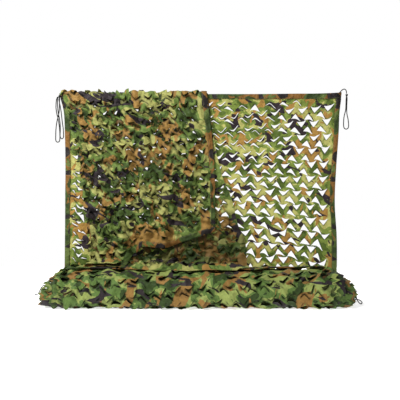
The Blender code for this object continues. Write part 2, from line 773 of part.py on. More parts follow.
def build_drape_bindings(tape):
    """Tape along the drape's free edge, and along the hem of its front layer."""
    def beside_edge(row, inward, out):
        return place_out(drape_place, inward, drape_row(max(inward, 0.0), row), out)

    def beside_hem(from_edge, inward, out):
        return place_out(drape_place, from_edge, drape_row(from_edge, LAST_ROW) - inward, out)

    channel(beside_edge, range(LAST_ROW), "drape_side_binding", tape, DRAPE_ROOM)
    hem_columns = [column for column in drape_columns() if gathered(column) < 0.02]
    channel(beside_hem, hem_columns, "drape_hem_binding", tape, DRAPE_ROOM)


END_BIND_GAP = 0.0009       # under the end binding, whose straight sides span the roll's round


def build_end_binding(tape):
    """Tape along the free end of the net, where it lies on the roll."""
    sections = []
    for across in STATIONS:
        if has_end_line(across):
            end_line = -table_at(ROLL_END_LINE, across)[0]
            lower = []
            for inward in (0.0015, BINDING_WIDTH / 3, 2 * BINDING_WIDTH / 3, BINDING_WIDTH):
                forward = end_line - inward
                lower.append((forward, roll_top(across, forward) + END_BIND_GAP))
            upper = [(forward, up + CLOTH) for forward, up in reversed(lower)]
            sections.append([(across, -forward, up + FLOOR) for forward, up in lower + upper])
    loft("end_binding", sections, tape)


# Cords: each is tied round a corner, with a knot and the loop or end that hangs from it

KNOT_THIN = 0.75            # a knot's thickness against its width


def build_knot(name, centre, facing, material):
    """A small flattened knot, its turns raised, with its thin side facing a direction."""
    mesh = bpy.data.meshes.new(name)
    work = bmesh.new()
    bmesh.ops.create_uvsphere(work, u_segments=12, v_segments=7, radius=KNOT_RADIUS)
    for corner in work.verts:
        around = math.atan2(corner.co.y, corner.co.x)
        ridge = 1 - 0.04 * (1 + math.cos(3 * around + 500 * corner.co.z))
        corner.co = Vector((corner.co.x * ridge, corner.co.y * ridge, corner.co.z * KNOT_THIN))
    work.to_mesh(mesh)
    work.free()
    mesh.materials.append(material)
    mesh.shade_smooth()
    knot = bpy.data.objects.new(name, mesh)
    knot.location = centre
    knot.rotation_mode = "QUATERNION"
    knot.rotation_quaternion = Vector(facing).to_track_quat("Z", "Y")
    bpy.context.scene.collection.objects.link(knot)


def knot_on_roll(across, forward):
    """A knot's middle and facing, on the slope at an end of the roll."""
    step = 0.004
    rise_across = (roll_top(across + step, forward) - roll_top(across - step, forward)) / (2 * step)
    rise_forward = (roll_top(across, forward + step) - roll_top(across, forward - step)) / (2 * step)
    facing = Vector((-rise_across, rise_forward, 1.0)).normalized()
    seat = Vector((across, -forward, roll_top(across, forward) + FLOOR))
    return seat + facing * (KNOT_RADIUS * KNOT_THIN + TOUCH), facing


def smooth_route(route, gap):
    """Places an even gap apart on a smooth curve through a route's own points."""
    fine = []
    for at in range(len(route) - 1):
        before, start, stop, after = (
            route[max(at - 1, 0)], route[at], route[at + 1], route[min(at + 2, len(route) - 1)]
        )
        for step in range(12):
            part = step / 12
            fine.append(0.5 * (
                2 * start
                + (stop - before) * part
                + (2 * before - 5 * start + 4 * stop - after) * part**2
                + (3 * start - before - 3 * stop + after) * part**3
            ))
    fine.append(route[-1])
    lengths = [0.0]
    for start, stop in zip(fine, fine[1:]):
        lengths.append(lengths[-1] + (stop - start).length)
    count = max(round(lengths[-1] / gap), 2)
    places = []
    low = 0
    for step in range(count + 1):
        wanted = lengths[-1] * step / count
        while low < len(fine) - 2 and lengths[low + 1] < wanted:
            low += 1
        places.append(fine[low].lerp(fine[low + 1], (wanted - lengths[low]) / (lengths[low + 1] - lengths[low])))
    return places


def build_cord(name, route, material):
    """A round cord along a route, with flat ends."""
    curve = bpy.data.curves.new(name, "CURVE")
    curve.dimensions = "3D"
    curve.bevel_depth = CORD_DIAMETER / 2
    curve.bevel_resolution = 2
    curve.use_fill_caps = True
    places = smooth_route(route, 2.6 * CORD_DIAMETER)
    spline = curve.splines.new("POLY")
    spline.points.add(len(places) - 1)
    for point, place in zip(spline.points, places):
        point.co = (*place, 1.0)
    curve.materials.append(material)
    cord = bpy.data.objects.new(name, curve)
    bpy.context.scene.collection.objects.link(cord)


def off_knot(knot, facing, toward):
    """Where a cord meets a knot, on the side that it leaves by."""
    leaving = (toward - knot).normalized()
    thin = leaving.dot(facing)
    reach = KNOT_RADIUS / math.sqrt(1 - thin**2 + (thin / KNOT_THIN) ** 2)
    return knot + leaving * (reach + TOUCH)


def knot_on_binding(across, drop):
    """A knot's middle in front of the tape along the net's top edge."""
    tape_front = rise_of(NET_FOLDS, across, drop) + CLOTH / 2 + TOUCH + BINDING_PLY
    return Vector((across, -tape_front - TOUCH - KNOT_THIN * KNOT_RADIUS, -drop))


def build_ties(cord):
    viewer = Vector((0.0, -1.0, 0.0))
    knots = {
        "knot_top_left": (knot_on_binding(-0.745, 0.014), viewer),
        "knot_top_right": (knot_on_binding(0.7335, 0.007), viewer),
        "knot_right_wrap": (Vector((0.780, -0.0100, -0.0095)), viewer),
        "knot_roll_left": knot_on_roll(-0.7645, 0.170),
        "knot_roll_right": knot_on_roll(0.7590, 0.200),
    }
    for name, (centre, facing) in knots.items():
        build_knot(name, centre, facing, cord)
    ends = {
        "tie_top_left_front": ("knot_top_left", "knot_top_left"),
        "tie_top_left_back": ("knot_top_left", "knot_top_left"),
        "tie_top_right_bend": ("knot_top_right", "knot_right_wrap"),
        "tie_top_right_loop": ("knot_right_wrap", "knot_right_wrap"),
        "tie_roll_left": ("knot_roll_left", None),
        "tie_roll_right": ("knot_roll_right", "knot_roll_right"),
    }
    for name, (start, stop) in ends.items():
        route = [Vector(place) for place in TIE_ROUTES[name]]
        route.insert(0, off_knot(*knots[start], route[0]))
        if stop:
            route.append(off_knot(*knots[stop], route[-1]))
        build_cord(name, route, cord)


def main():
    for thing in list(bpy.data.objects):
        bpy.data.objects.remove(thing, do_unlink=True)
    cloth = make_material("net_cloth", (0.16, 0.22, 0.07), 0.85)
    tape = make_material("binding_tape", (0.24, 0.15, 0.07), 0.80)
    cord = make_material("tie_cord", (0.05, 0.06, 0.03), 0.75)
    net = build_net(cloth)
    roll = build_roll(cloth)
    roll.hide_render = True
    roll.display_type = "WIRE"
    join = net.modifiers.new("rolled end", "BOOLEAN")
    join.operation = "UNION"
    join.object = roll
    build_drape(cloth)
    build_net_bindings(tape)
    build_drape_bindings(tape)
    build_end_binding(tape)
    build_ties(cord)


main()
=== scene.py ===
import math

import bmesh
import bpy
import numpy as np
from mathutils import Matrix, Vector
from mathutils.geometry import delaunay_2d_cdt
from mathutils.kdtree import KDTree


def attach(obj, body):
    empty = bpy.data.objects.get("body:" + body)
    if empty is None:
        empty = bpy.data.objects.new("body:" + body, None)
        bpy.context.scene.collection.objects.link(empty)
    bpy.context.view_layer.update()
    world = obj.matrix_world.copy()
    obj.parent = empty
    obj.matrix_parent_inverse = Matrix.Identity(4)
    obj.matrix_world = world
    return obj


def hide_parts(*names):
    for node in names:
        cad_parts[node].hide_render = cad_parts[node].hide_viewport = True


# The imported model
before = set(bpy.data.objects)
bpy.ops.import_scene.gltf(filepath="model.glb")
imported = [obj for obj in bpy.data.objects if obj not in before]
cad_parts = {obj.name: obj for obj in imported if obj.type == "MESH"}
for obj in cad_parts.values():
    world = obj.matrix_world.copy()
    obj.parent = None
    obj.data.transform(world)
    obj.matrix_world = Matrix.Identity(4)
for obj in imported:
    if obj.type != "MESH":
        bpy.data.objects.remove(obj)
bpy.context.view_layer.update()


def add_object(name, data):
    """A new object in the scene."""
    thing = bpy.data.objects.new(name, data)
    bpy.context.scene.collection.objects.link(thing)
    return thing


# Camera: level, straight in front, with its centre a little below the middle of the hung net
camera_data = bpy.data.cameras.new("camera")
camera_data.lens = 50.6
camera_data.sensor_width = 36.0
camera = add_object("camera", camera_data)
camera.location = (0.0, -3.0, -0.567)
camera.rotation_euler = (math.pi / 2, 0.0, 0.0)
bpy.context.scene.camera = camera


# Corner cords: dark green braided cord 5 mm thick, tied round each corner of the net.
# Each hangs in a long loop under its own weight or lies on the floor, and starts and ends in its knot.

CORD_DIAMETER = 0.005
CORD_STEP = 0.004
# Half a knot's width, how flat it is, the size of its turns, and its cord, which is drawn tight
KNOT_RADIUS = 0.0075
KNOT_THIN = 0.75
KNOT_LOOP = 0.00175
KNOT_CORD_RADIUS = 0.0023
KNOT_STEPS = 72
# The clearance between pieces that touch
TOUCH = 0.0006

TIE_ROUTES = {
    # x, y, z of each point, in tenths of a millimetre
    "tie_top_left_front": (
        (-7585, -125, -230), (-7630, -150, -420), (-7645, -150, -780), (-7600, -150, -1090),
        (-7545, -150, -1310), (-7495, -150, -1575), (-7455, -150, -1895), (-7438, -150, -2250),
        (-7440, -150, -2460), (-7475, -145, -2560), (-7555, -135, -2600), (-7635, -120, -2560),
        (-7672, -105, -2460), (-7675, -90, -2250), (-7665, -75, -1895), (-7630, -70, -1575),
        (-7565, -70, -1280), (-7500, -75, -990), (-7475, -90, -615), (-7465, -115, -340),
    ),
    "tie_top_left_back": (
        (-7520, -25, -300), (-7515, 35, -430), (-7480, 85, -650), (-7430, 110, -1000),
        (-7400, 120, -1300), (-7365, 130, -1600), (-7330, 140, -1870), (-7315, 143, -2250),
        (-7338, 115, -2353), (-7385, 50, -2400), (-7432, -15, -2353), (-7455, -43, -2250),
        (-7445, -35, -1950), (-7460, -10, -1650), (-7500, 10, -1350), (-7560, 20, -1050),
        (-7600, 30, -720), (-7610, 25, -430), (-7585, -10, -220),
    ),
    "tie_top_right_bend": (
        (7465, -110, 85), (7580, -110, 195), (7690, -105, 225), (7775, -100, 140),
    ),
    "tie_top_right_loop": (
        (7765, -130, -280), (7755, -130, -560), (7740, -130, -880), (7690, -130, -1080),
        (7645, -130, -1300), (7628, -130, -1590), (7635, -130, -1765), (7675, -125, -1860),
        (7768, -110, -1905), (7862, -95, -1860), (7902, -90, -1765), (7905, -80, -1590),
        (7875, -70, -1340), (7825, -65, -1100), (7810, -65, -840), (7820, -65, -540),
        (7830, -70, -290),
    ),
    "tie_roll_left": (
        (-7860, -1530, -9990), (-8060, -1120, -10060), (-8300, -700, -10290),
        (-8520, -300, -10560), (-8740, 100, -10735), (-8960, 460, -10768),
    ),
    "tie_roll_right": (
        (7755, -1810, -10300), (7830, -1520, -10540), (7865, -1300, -10690), (7930, -1165, -10755),
        (8040, -1145, -10768), (8120, -1260, -10768), (8135, -1530, -10768), (8090, -1900, -10768),
        (8000, -2220, -10768), (7900, -2420, -10765), (7790, -2505, -10705), (7715, -2460, -10590),
        (7695, -2330, -10430), (7715, -2180, -10240),
    ),
}

KNOTS = {
    # middle, the way its thin side faces
    "knot_top_left": ((-0.7450, -0.0100, -0.0140), (0.0, -1.0, 0.0)),
    "knot_top_right": ((0.7335, -0.0111, -0.0070), (0.0, -1.0, 0.0)),
    "knot_right_wrap": ((0.7800, -0.0100, -0.0095), (0.0, -1.0, 0.0)),
    "knot_roll_left": ((-0.7689, -0.1693, -0.9881), (-0.68, 0.0, 0.73)),
    "knot_roll_right": ((0.7639, -0.2000, -1.0039), (0.80, -0.1, 0.60)),
}

TIE_ENDS = {
    # knot it leaves, knot it comes back to, how it lies
    "tie_top_left_front": ("knot_top_left", "knot_top_left", "hanging"),
    "tie_top_left_back": ("knot_top_left", "knot_top_left", "hanging"),
    "tie_top_right_bend": ("knot_top_right", "knot_right_wrap", "loose"),
    "tie_top_right_loop": ("knot_right_wrap", "knot_right_wrap", "hanging"),
    "tie_roll_left": ("knot_roll_left", None, "loose"),
    "tie_roll_right": ("knot_roll_right", "knot_roll_right", "loose"),
}


def linear(hex_colour):
    """A colour written as sRGB hex, in Blender's linear values."""
    parts = [int(hex_colour[at:at + 2], 16) / 255 for at in (1, 3, 5)]
    parts = [((part + 0.055) / 1.055) ** 2.4 if part > 0.04045 else part / 12.92 for part in parts]
    return (*parts, 1.0)


def add_node(tree, kind, links=(), **settings):
    """A shader node; links are (socket, value or output) pairs, settings are its own properties."""
    node = tree.nodes.new(kind)
    for name, value in settings.items():
        setattr(node, name, value)
    for socket, value in links:
        if isinstance(value, bpy.types.NodeSocket):
            tree.links.new(value, node.inputs[socket])
        else:
            node.inputs[socket].default_value = value
    return node


def new_material(name):
    """An empty node material and its tree."""
    material = bpy.data.materials.new(name)
    material.use_nodes = True
    material.node_tree.nodes.clear()
    return material, material.node_tree


def smooth_route(route, gap):
    """Places an even gap apart on a smooth curve through a route's own points."""
    fine = []
    for at in range(len(route) - 1):
        before, start, stop, after = (
            route[max(at - 1, 0)], route[at], route[at + 1], route[min(at + 2, len(route) - 1)]
        )
        for step in range(12):
            part = step / 12
            fine.append(0.5 * (
                2 * start
                + (stop - before) * part
                + (2 * before - 5 * start + 4 * stop - after) * part**2
                + (3 * start - before - 3 * stop + after) * part**3
            ))
    fine.append(route[-1])
    lengths = [0.0]
    for start, stop in zip(fine, fine[1:]):
        lengths.append(lengths[-1] + (stop - start).length)
    count = max(round(lengths[-1] / gap), 2)
    wanted = [lengths[-1] * step / count for step in range(count + 1)]
    return [
        Vector([float(np.interp(at, lengths, [point[axis] for point in fine])) for axis in range(3)])
        for at in wanted
    ]


def add_cord_curve(name, strand, radius, material, closed=False):
    """Round cord along a line of points."""
    curve = bpy.data.curves.new(name, "CURVE")
    curve.dimensions = "3D"
    curve.bevel_depth = radius
    curve.bevel_resolution = 4
    curve.use_fill_caps = True
    spline = curve.splines.new("POLY")
    spline.points.add(len(strand) - 1)
    spline.use_cyclic_u = closed
    for point, place in zip(spline.points, strand):
        point.co = (*place, 1.0)
    curve.materials.append(material)
    return add_object(name, curve)


def stand_for(piece, node):
    """Nothing here moves, so every piece rides on the root."""
    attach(piece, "root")
    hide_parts(node)


# Braided dark green cord: its diagonal plait, 2.9 mm a repeat, breaks up the shine and its fibres stay matt
braid, tree = new_material("braided cord")
place = add_node(tree, "ShaderNodeTexCoord")
plait = []
for angle in (0.8, -0.8):
    turned = add_node(tree, "ShaderNodeMapping", [
        ("Vector", place.outputs["Object"]), ("Rotation", (0.5, angle, 0.0)),
    ])
    plait.append(add_node(tree, "ShaderNodeTexWave", [
        ("Vector", turned.outputs[0]), ("Scale", 110.0), ("Distortion", 1.0),
    ]))
height = add_node(tree, "ShaderNodeMath", [
    (0, plait[0].outputs["Fac"]), (1, plait[1].outputs["Fac"]),
], operation="MAXIMUM")
bump = add_node(tree, "ShaderNodeBump", [
    ("Height", height.outputs[0]), ("Strength", 0.8), ("Distance", 0.0006),
])
fleck = add_node(tree, "ShaderNodeTexNoise", [("Vector", place.outputs["Object"]), ("Scale", 90.0)])
shade = add_node(tree, "ShaderNodeValToRGB", [("Fac", fleck.outputs["Fac"])])
shade.color_ramp.elements[0].position = 0.35
shade.color_ramp.elements[0].color = linear("#070906")
shade.color_ramp.elements[1].position = 0.70
shade.color_ramp.elements[1].color = linear("#161a10")
surface = add_node(tree, "ShaderNodeBsdfPrincipled", [
    ("Base Color", shade.outputs["Color"]), ("Roughness", 0.72), ("Specular IOR Level", 0.25),
    ("Normal", bump.outputs["Normal"]),
])
add_node(tree, "ShaderNodeOutputMaterial", [("Surface", surface.outputs[0])])


def off_knot(knot, toward):
    """Where a cord meets a knot, on the side that it leaves by."""
    middle, facing = (Vector(values) for values in KNOTS[knot])
    leaving = (toward - middle).normalized()
    thin = leaving.dot(facing.normalized())
    reach = KNOT_RADIUS / math.sqrt(1 - thin**2 + (thin / KNOT_THIN) ** 2)
    return middle + leaving * (reach + TOUCH)


# A knot is drawn as a trefoil, pulled tight
for name, (middle, facing) in KNOTS.items():
    turned = Vector(facing).to_track_quat("Z", "Y")
    strand = []
    for step in range(KNOT_STEPS):
        angle = 2 * math.pi * step / KNOT_STEPS
        place_in_knot = Vector((
            math.sin(angle) + 2 * math.sin(2 * angle),
            math.cos(angle) - 2 * math.cos(2 * angle),
            -1.5 * math.sin(3 * angle),
        ))
        strand.append(Vector(middle) + turned @ (place_in_knot * KNOT_LOOP))
    knot = add_cord_curve(name + "_turns", strand, KNOT_CORD_RADIUS, braid, closed=True)
    stand_for(knot, name)

for name, (first, last, lay) in TIE_ENDS.items():
    route = [Vector([at / 10000 for at in point]) for point in TIE_ROUTES[name]]
    route.insert(0, off_knot(first, route[0]))
    if last:
        route.append(off_knot(last, route[-1]))
    places = smooth_route(route, CORD_STEP)
    cord = add_cord_curve(name + "_cord", places, CORD_DIAMETER / 2, braid)
    stand_for(cord, name)


# The hung net: one web of thin leaf-cut cloth, 1.5 m wide, that hangs by its top edge. Rows of V cuts, some
# upside down, leave leaf-shaped tongues, which curl out of the cloth where it is stretched. Its lower 3.9 m
# are wound into a loose roll on the floor.

NET_WIDTH = 1.50
HANG_HEIGHT = 1.08
CLOTH = 0.002
BINDING_WIDTH = 0.027
BINDING_PLY = 0.0014
SLIT_PITCH = 0.073
FLOOR = -HANG_HEIGHT
OFF_FLOOR = 0.0008


def metres(*rows):
    """A table written in millimetres, in metres."""
    return np.array(rows) / 1000


NET_EDGES = metres(
    # drop, left, right
    (0, -752, 755), (50, -737, 749), (104, -725, 742), (200, -720, 738), (390, -716, 724),
    (560, -717, 717), (750, -718, 728), (1080, -722, 726),
)
NET_FOLDS = (
    # across, half width, rise at the top, rise at the foot, lean
    (-0.66, 0.050, 0.003, 0.010, 0.05), (-0.30, 0.090, 0.002, 0.012, -0.08),
    (0.16, 0.070, 0.004, 0.014, 0.10), (0.40, 0.060, 0.003, 0.016, -0.09),
    (0.56, 0.050, 0.004, 0.011, 0.06), (0.67, 0.060, 0.003, 0.005, -0.04),
)
ROLL_SECTIONS = metres(
    # across, back, front, underside, crest
    (-786, -165, -235, 26, 52), (-776, -140, -275, 10, 70), (-773, -125, -300, 4, 82),
    (-755, -110, -320, 0, 100), (-752, -98, -334, 0, 110), (-728, -88, -346, 0, 124),
    (-725, -76, -356, 0, 134), (-700, -66, -362, 0, 150), (-696, -56, -370, 0, 160),
    (-665, -50, -374, 0, 168), (-661, -42, -380, 0, 175), (-580, -40, -382, 0, 177),
    (-450, -40, -380, 0, 171), (-320, -38, -388, 0, 175), (-190, -38, -392, 0, 170),
    (-60, -36, -388, 0, 176), (70, -36, -392, 0, 172), (200, -38, -386, 0, 168),
    (330, -38, -388, 0, 174), (460, -40, -380, 0, 170), (580, -40, -382, 0, 174),
    (640, -42, -378, 0, 170), (644, -50, -372, 0, 162), (678, -56, -368, 0, 156),
    (682, -66, -360, 0, 146), (708, -78, -352, 0, 134), (712, -90, -342, 0, 122),
    (732, -100, -330, 4, 112), (735, -112, -316, 10, 100), (750, -126, -296, 20, 90),
    (753, -142, -272, 28, 80), (764, -165, -240, 38, 66),
)
ROLL_TWISTS = (
    # across, degrees around, lean, half width, depth
    (-0.60, 150, 0.0016, 0.040, 0.010), (-0.44, 130, -0.0012, 0.045, 0.012),
    (-0.27, 160, 0.0014, 0.035, 0.009), (-0.02, 140, 0.0010, 0.050, 0.011),
    (0.14, 165, -0.0016, 0.035, 0.010), (0.34, 135, 0.0018, 0.045, 0.013),
    (0.52, 155, -0.0010, 0.040, 0.009),
)
ROLL_END_LINE = metres(
    # across, forward
    (-660, -265), (-620, -262), (-430, -225), (-200, -205), (100, -215), (220, -240), (380, -218),
    (520, -180), (640, -165),
)

# Where each turn of the roll ends at the left and at the right, from the outer turn inwards
TURN_ENDS = metres((-663, 642), (-698, 680), (-726.5, 710), (-753.5, 733.5), (-774.5, 751.5), (-786, 764))
LAST_TURN = len(TURN_ENDS) - 1

# At the floor the net bends forward and runs under the roll
FOOT_BEND = 0.040
FOOT_LIFT = 0.0005
STRAIGHT_FALL = HANG_HEIGHT - FOOT_BEND - CLOTH / 2 - FOOT_LIFT
FOOT_RUN = 0.130
NET_LENGTH = STRAIGHT_FALL + FOOT_BEND * math.pi / 2 + FOOT_RUN
TOP_SAG = 0.004
CORNER_LIFT = 0.006
# How far from the net's right edge the drape's fold hangs, and so where the net shows again to its left
FOLD_AT = 1.34


def table_at(table, at):
    """The other columns of a table at values of its first column, on a smooth curve, one array a column."""
    at = np.clip(at, table[0, 0], table[-1, 0])
    low = np.clip(np.searchsorted(table[:, 0], at, side="right") - 1, 0, len(table) - 2)
    before, start, stop, after = (table[np.clip(low + step, 0, len(table) - 1)] for step in (-1, 0, 1, 2))
    width = (stop - start)[..., :1]
    part = (at[..., None] - start[..., :1]) / width
    slope_start = (stop - before) / (stop - before)[..., :1] * width
    slope_stop = (after - start) / (after - start)[..., :1] * width
    values = (
        (2 * part**3 - 3 * part**2 + 1) * start
        + (part**3 - 2 * part**2 + part) * slope_start
        + (3 * part**2 - 2 * part**3) * stop
        + (part**3 - part**2) * slope_stop
    )
    return [values[..., column] for column in range(1, table.shape[1])]


def ease(value):
    """A smooth step from 0 to 1."""
    value = np.clip(value, 0.0, 1.0)
    return value * value * (3 - 2 * value)


def span(at, start, rising, stop, falling):
    """1 from start to stop: it rises smoothly at the one and falls at the other."""
    return ease((at - start) / rising) * (1 - ease((at - stop) / falling))


def mix(start, stop, part):
    """A value part of the way from start to stop."""
    return start + (stop - start) * part


def rise_of(folds, across, drop):
    """How far a set of soft folds stands forward at a place."""
    total = 0.0
    for centre, half_width, at_top, at_foot, lean in folds:
        offset = (across - centre - lean * (drop - HANG_HEIGHT / 2)) / half_width
        total = total + mix(at_top, at_foot, drop / HANG_HEIGHT) * np.exp(-offset * offset)
    return total


def waves(first, second, length, seed, count=7):
    """A smooth uneven relief between about -1 and 1, its hollows about a length apart."""
    random = np.random.default_rng(seed)
    total = 0.0
    for _number in range(count):
        angle = random.uniform(0, 2 * math.pi)
        pace = 2 * math.pi / (length * random.uniform(0.7, 1.5))
        phase = random.uniform(0, 2 * math.pi)
        total = total + np.sin(pace * (first * math.cos(angle) + second * math.sin(angle)) + phase)
    return total / math.sqrt(count)


def creases(first, second, length, seed, count=6):
    """A crumpled relief between about -1 and 1: uneven facets that meet in creases about a length apart."""
    random = np.random.default_rng(seed)
    total = 0.0
    for number in range(count):
        angle = random.uniform(0, 2 * math.pi)
        pace = math.pi / (length * random.uniform(0.7, 1.5))
        phase = random.uniform(0, 2 * math.pi)
        bent = 0.5 * np.sin(0.4 * pace * (second * math.cos(angle) - first * math.sin(angle)) + 2 * phase)
        side = 1 if number % 2 else -1
        facet = np.abs(np.sin(pace * (first * math.cos(angle) + second * math.sin(angle)) + phase + bent))
        total = total + side * (2 * facet - 1.27)
    return total / math.sqrt(count)


def top_line(across_part):
    """The height of the net's top edge, from its right corner at 0 to its left one at 1."""
    across_part = np.clip(across_part, 0.0, 1.0)
    return CORNER_LIFT * np.exp(-across_part * NET_WIDTH / 0.05) - TOP_SAG * np.sin(math.pi * across_part)


def net_place(from_right, along):
    """The middle of the net's cloth at places given on the flat net."""
    across_part = from_right / NET_WIDTH
    left, right = table_at(NET_EDGES, along)
    gather = 0.11 * (1 - ease(along / 0.7))
    across_part = across_part - gather * across_part * np.exp(-across_part / 0.2)
    across = mix(right, left, across_part)
    pull = 0.08 * (0.5 - ease(from_right / 0.5)) * ease((1.04 - along) / 0.17)
    fallen = along * (1 + pull)
    bend = np.clip((fallen - STRAIGHT_FALL) / FOOT_BEND, 0.0, math.pi / 2)
    beyond = np.maximum(fallen - STRAIGHT_FALL - FOOT_BEND * math.pi / 2, 0.0)
    drop = np.minimum(fallen, STRAIGHT_FALL) + FOOT_BEND * np.sin(bend)
    forward = FOOT_BEND * (1 - np.cos(bend)) + beyond
    lift = top_line(across_part) * (1 - ease(drop / 0.3))
    return np.stack([across, -rise_of(NET_FOLDS, across, drop) - forward, lift - drop], axis=-1)


def out_of(place, first, second, out):
    """Places off the middle of a sheet, out towards the viewer; place gives the sheet's middle."""
    step = 0.002
    sideways = place(first - step, second) - place(first + step, second)
    down = place(first, second + step) - place(first, second - step)
    normal = np.cross(sideways, down)
    normal /= np.maximum(np.linalg.norm(normal, axis=-1, keepdims=True), 1e-12)
    return place(first, second) - normal * np.asarray(out)[..., None]


def cut_shape(*lines):
    """The arms and the root of a cut, written in hundredths of the pitch."""
    return [np.array(line) / 100 for line in lines]


# One leaf cut: its two arms run from the left tip through the bend to the right tip, and the tongue between
# them stays joined along the line on the other side. Each place is right and up from the bend.
V_SLACK = cut_shape(
    ((-26, 16), (-13, 6), (0, 0), (11, 6), (22, 19), (33, 32), (43, 43)),
    ((-12, 25), (4, 30), (17, 35), (30, 40)),
)
V_OPEN = cut_shape(
    ((-32, 38), (-17, 18), (0, 0), (10, 11), (20, 24), (29, 37), (38, 50)),
    ((-18, 38), (-4, 38), (11, 40), (25, 44)),
)
CARET_SLACK = cut_shape(
    ((-25, -19), (-12, -8), (0, 0), (12, -6), (24, -17), (36, -27), (47, -38)),
    ((-11, -27), (5, -33), (19, -37), (34, -39)),
)
CARET_OPEN = cut_shape(
    ((-31, -38), (-17, -18), (0, 0), (11, -13), (21, -27), (30, -40), (39, -52)),
    ((-17, -39), (-2, -40), (12, -43), (26, -48)),
)
# A cut in cloth that is pulled askew, by the left edge
SLASH = cut_shape(
    ((-34, 30), (-29, 10), (-19, -6), (-4, -17), (10, -24), (22, -29), (34, -32)),
    ((-18, 27), (0, 13), (14, -2), (27, -18)),
)
# A cut in the lowest row that shows on the roll, which gapes where the cloth turns under
SCALLOP = cut_shape(
    ((-45, -33), (-32, -13), (-16, -3), (0, 0), (16, -4), (31, -14), (43, -34)),
    ((-24, -37), (-8, -38), (8, -38), (23, -37)),
)
TONGUE_ROWS = 3
SINK_REACH = 0.009
RISE_REACH = 0.012


def cut_places(bend_across, bend_along, upward, size, twist, opening, other=SLASH, part=0.0):
    """The arms and the root of one cut on the flat cloth; across runs to the left and along runs down."""
    slack, wide = (CARET_SLACK, CARET_OPEN) if upward else (V_SLACK, V_OPEN)
    cosine, sine = math.cos(twist) * size, math.sin(twist) * size
    lines = []
    for slack_line, wide_line, other_line in zip(slack, wide, other):
        right, up = mix(mix(slack_line, wide_line, opening), other_line, part).T
        lines.append(np.stack([
            bend_across - (right * cosine - up * sine), bend_along - (right * sine + up * cosine),
        ], axis=-1))
    return lines


def resample(line, count):
    """Places an even gap apart along a line of flat places."""
    lengths = np.concatenate([[0.0], np.cumsum(np.linalg.norm(np.diff(line, axis=0), axis=1))])
    wanted = np.linspace(0.0, lengths[-1], count)
    return np.stack([np.interp(wanted, lengths, line[:, axis]) for axis in (0, 1)], axis=-1)


def nearness(flat, places, reach):
    """How near each flat place is to the nearest of some others: 1 on it, fading to 0 over a reach."""
    found = KDTree(len(places))
    for number, (across, along) in enumerate(places):
        found.insert((across, along, 0.0), number)
    found.balance()
    gaps = np.array([found.find((across, along, 0.0))[2] for across, along in flat])
    return np.exp(-((gaps / reach) ** 2))


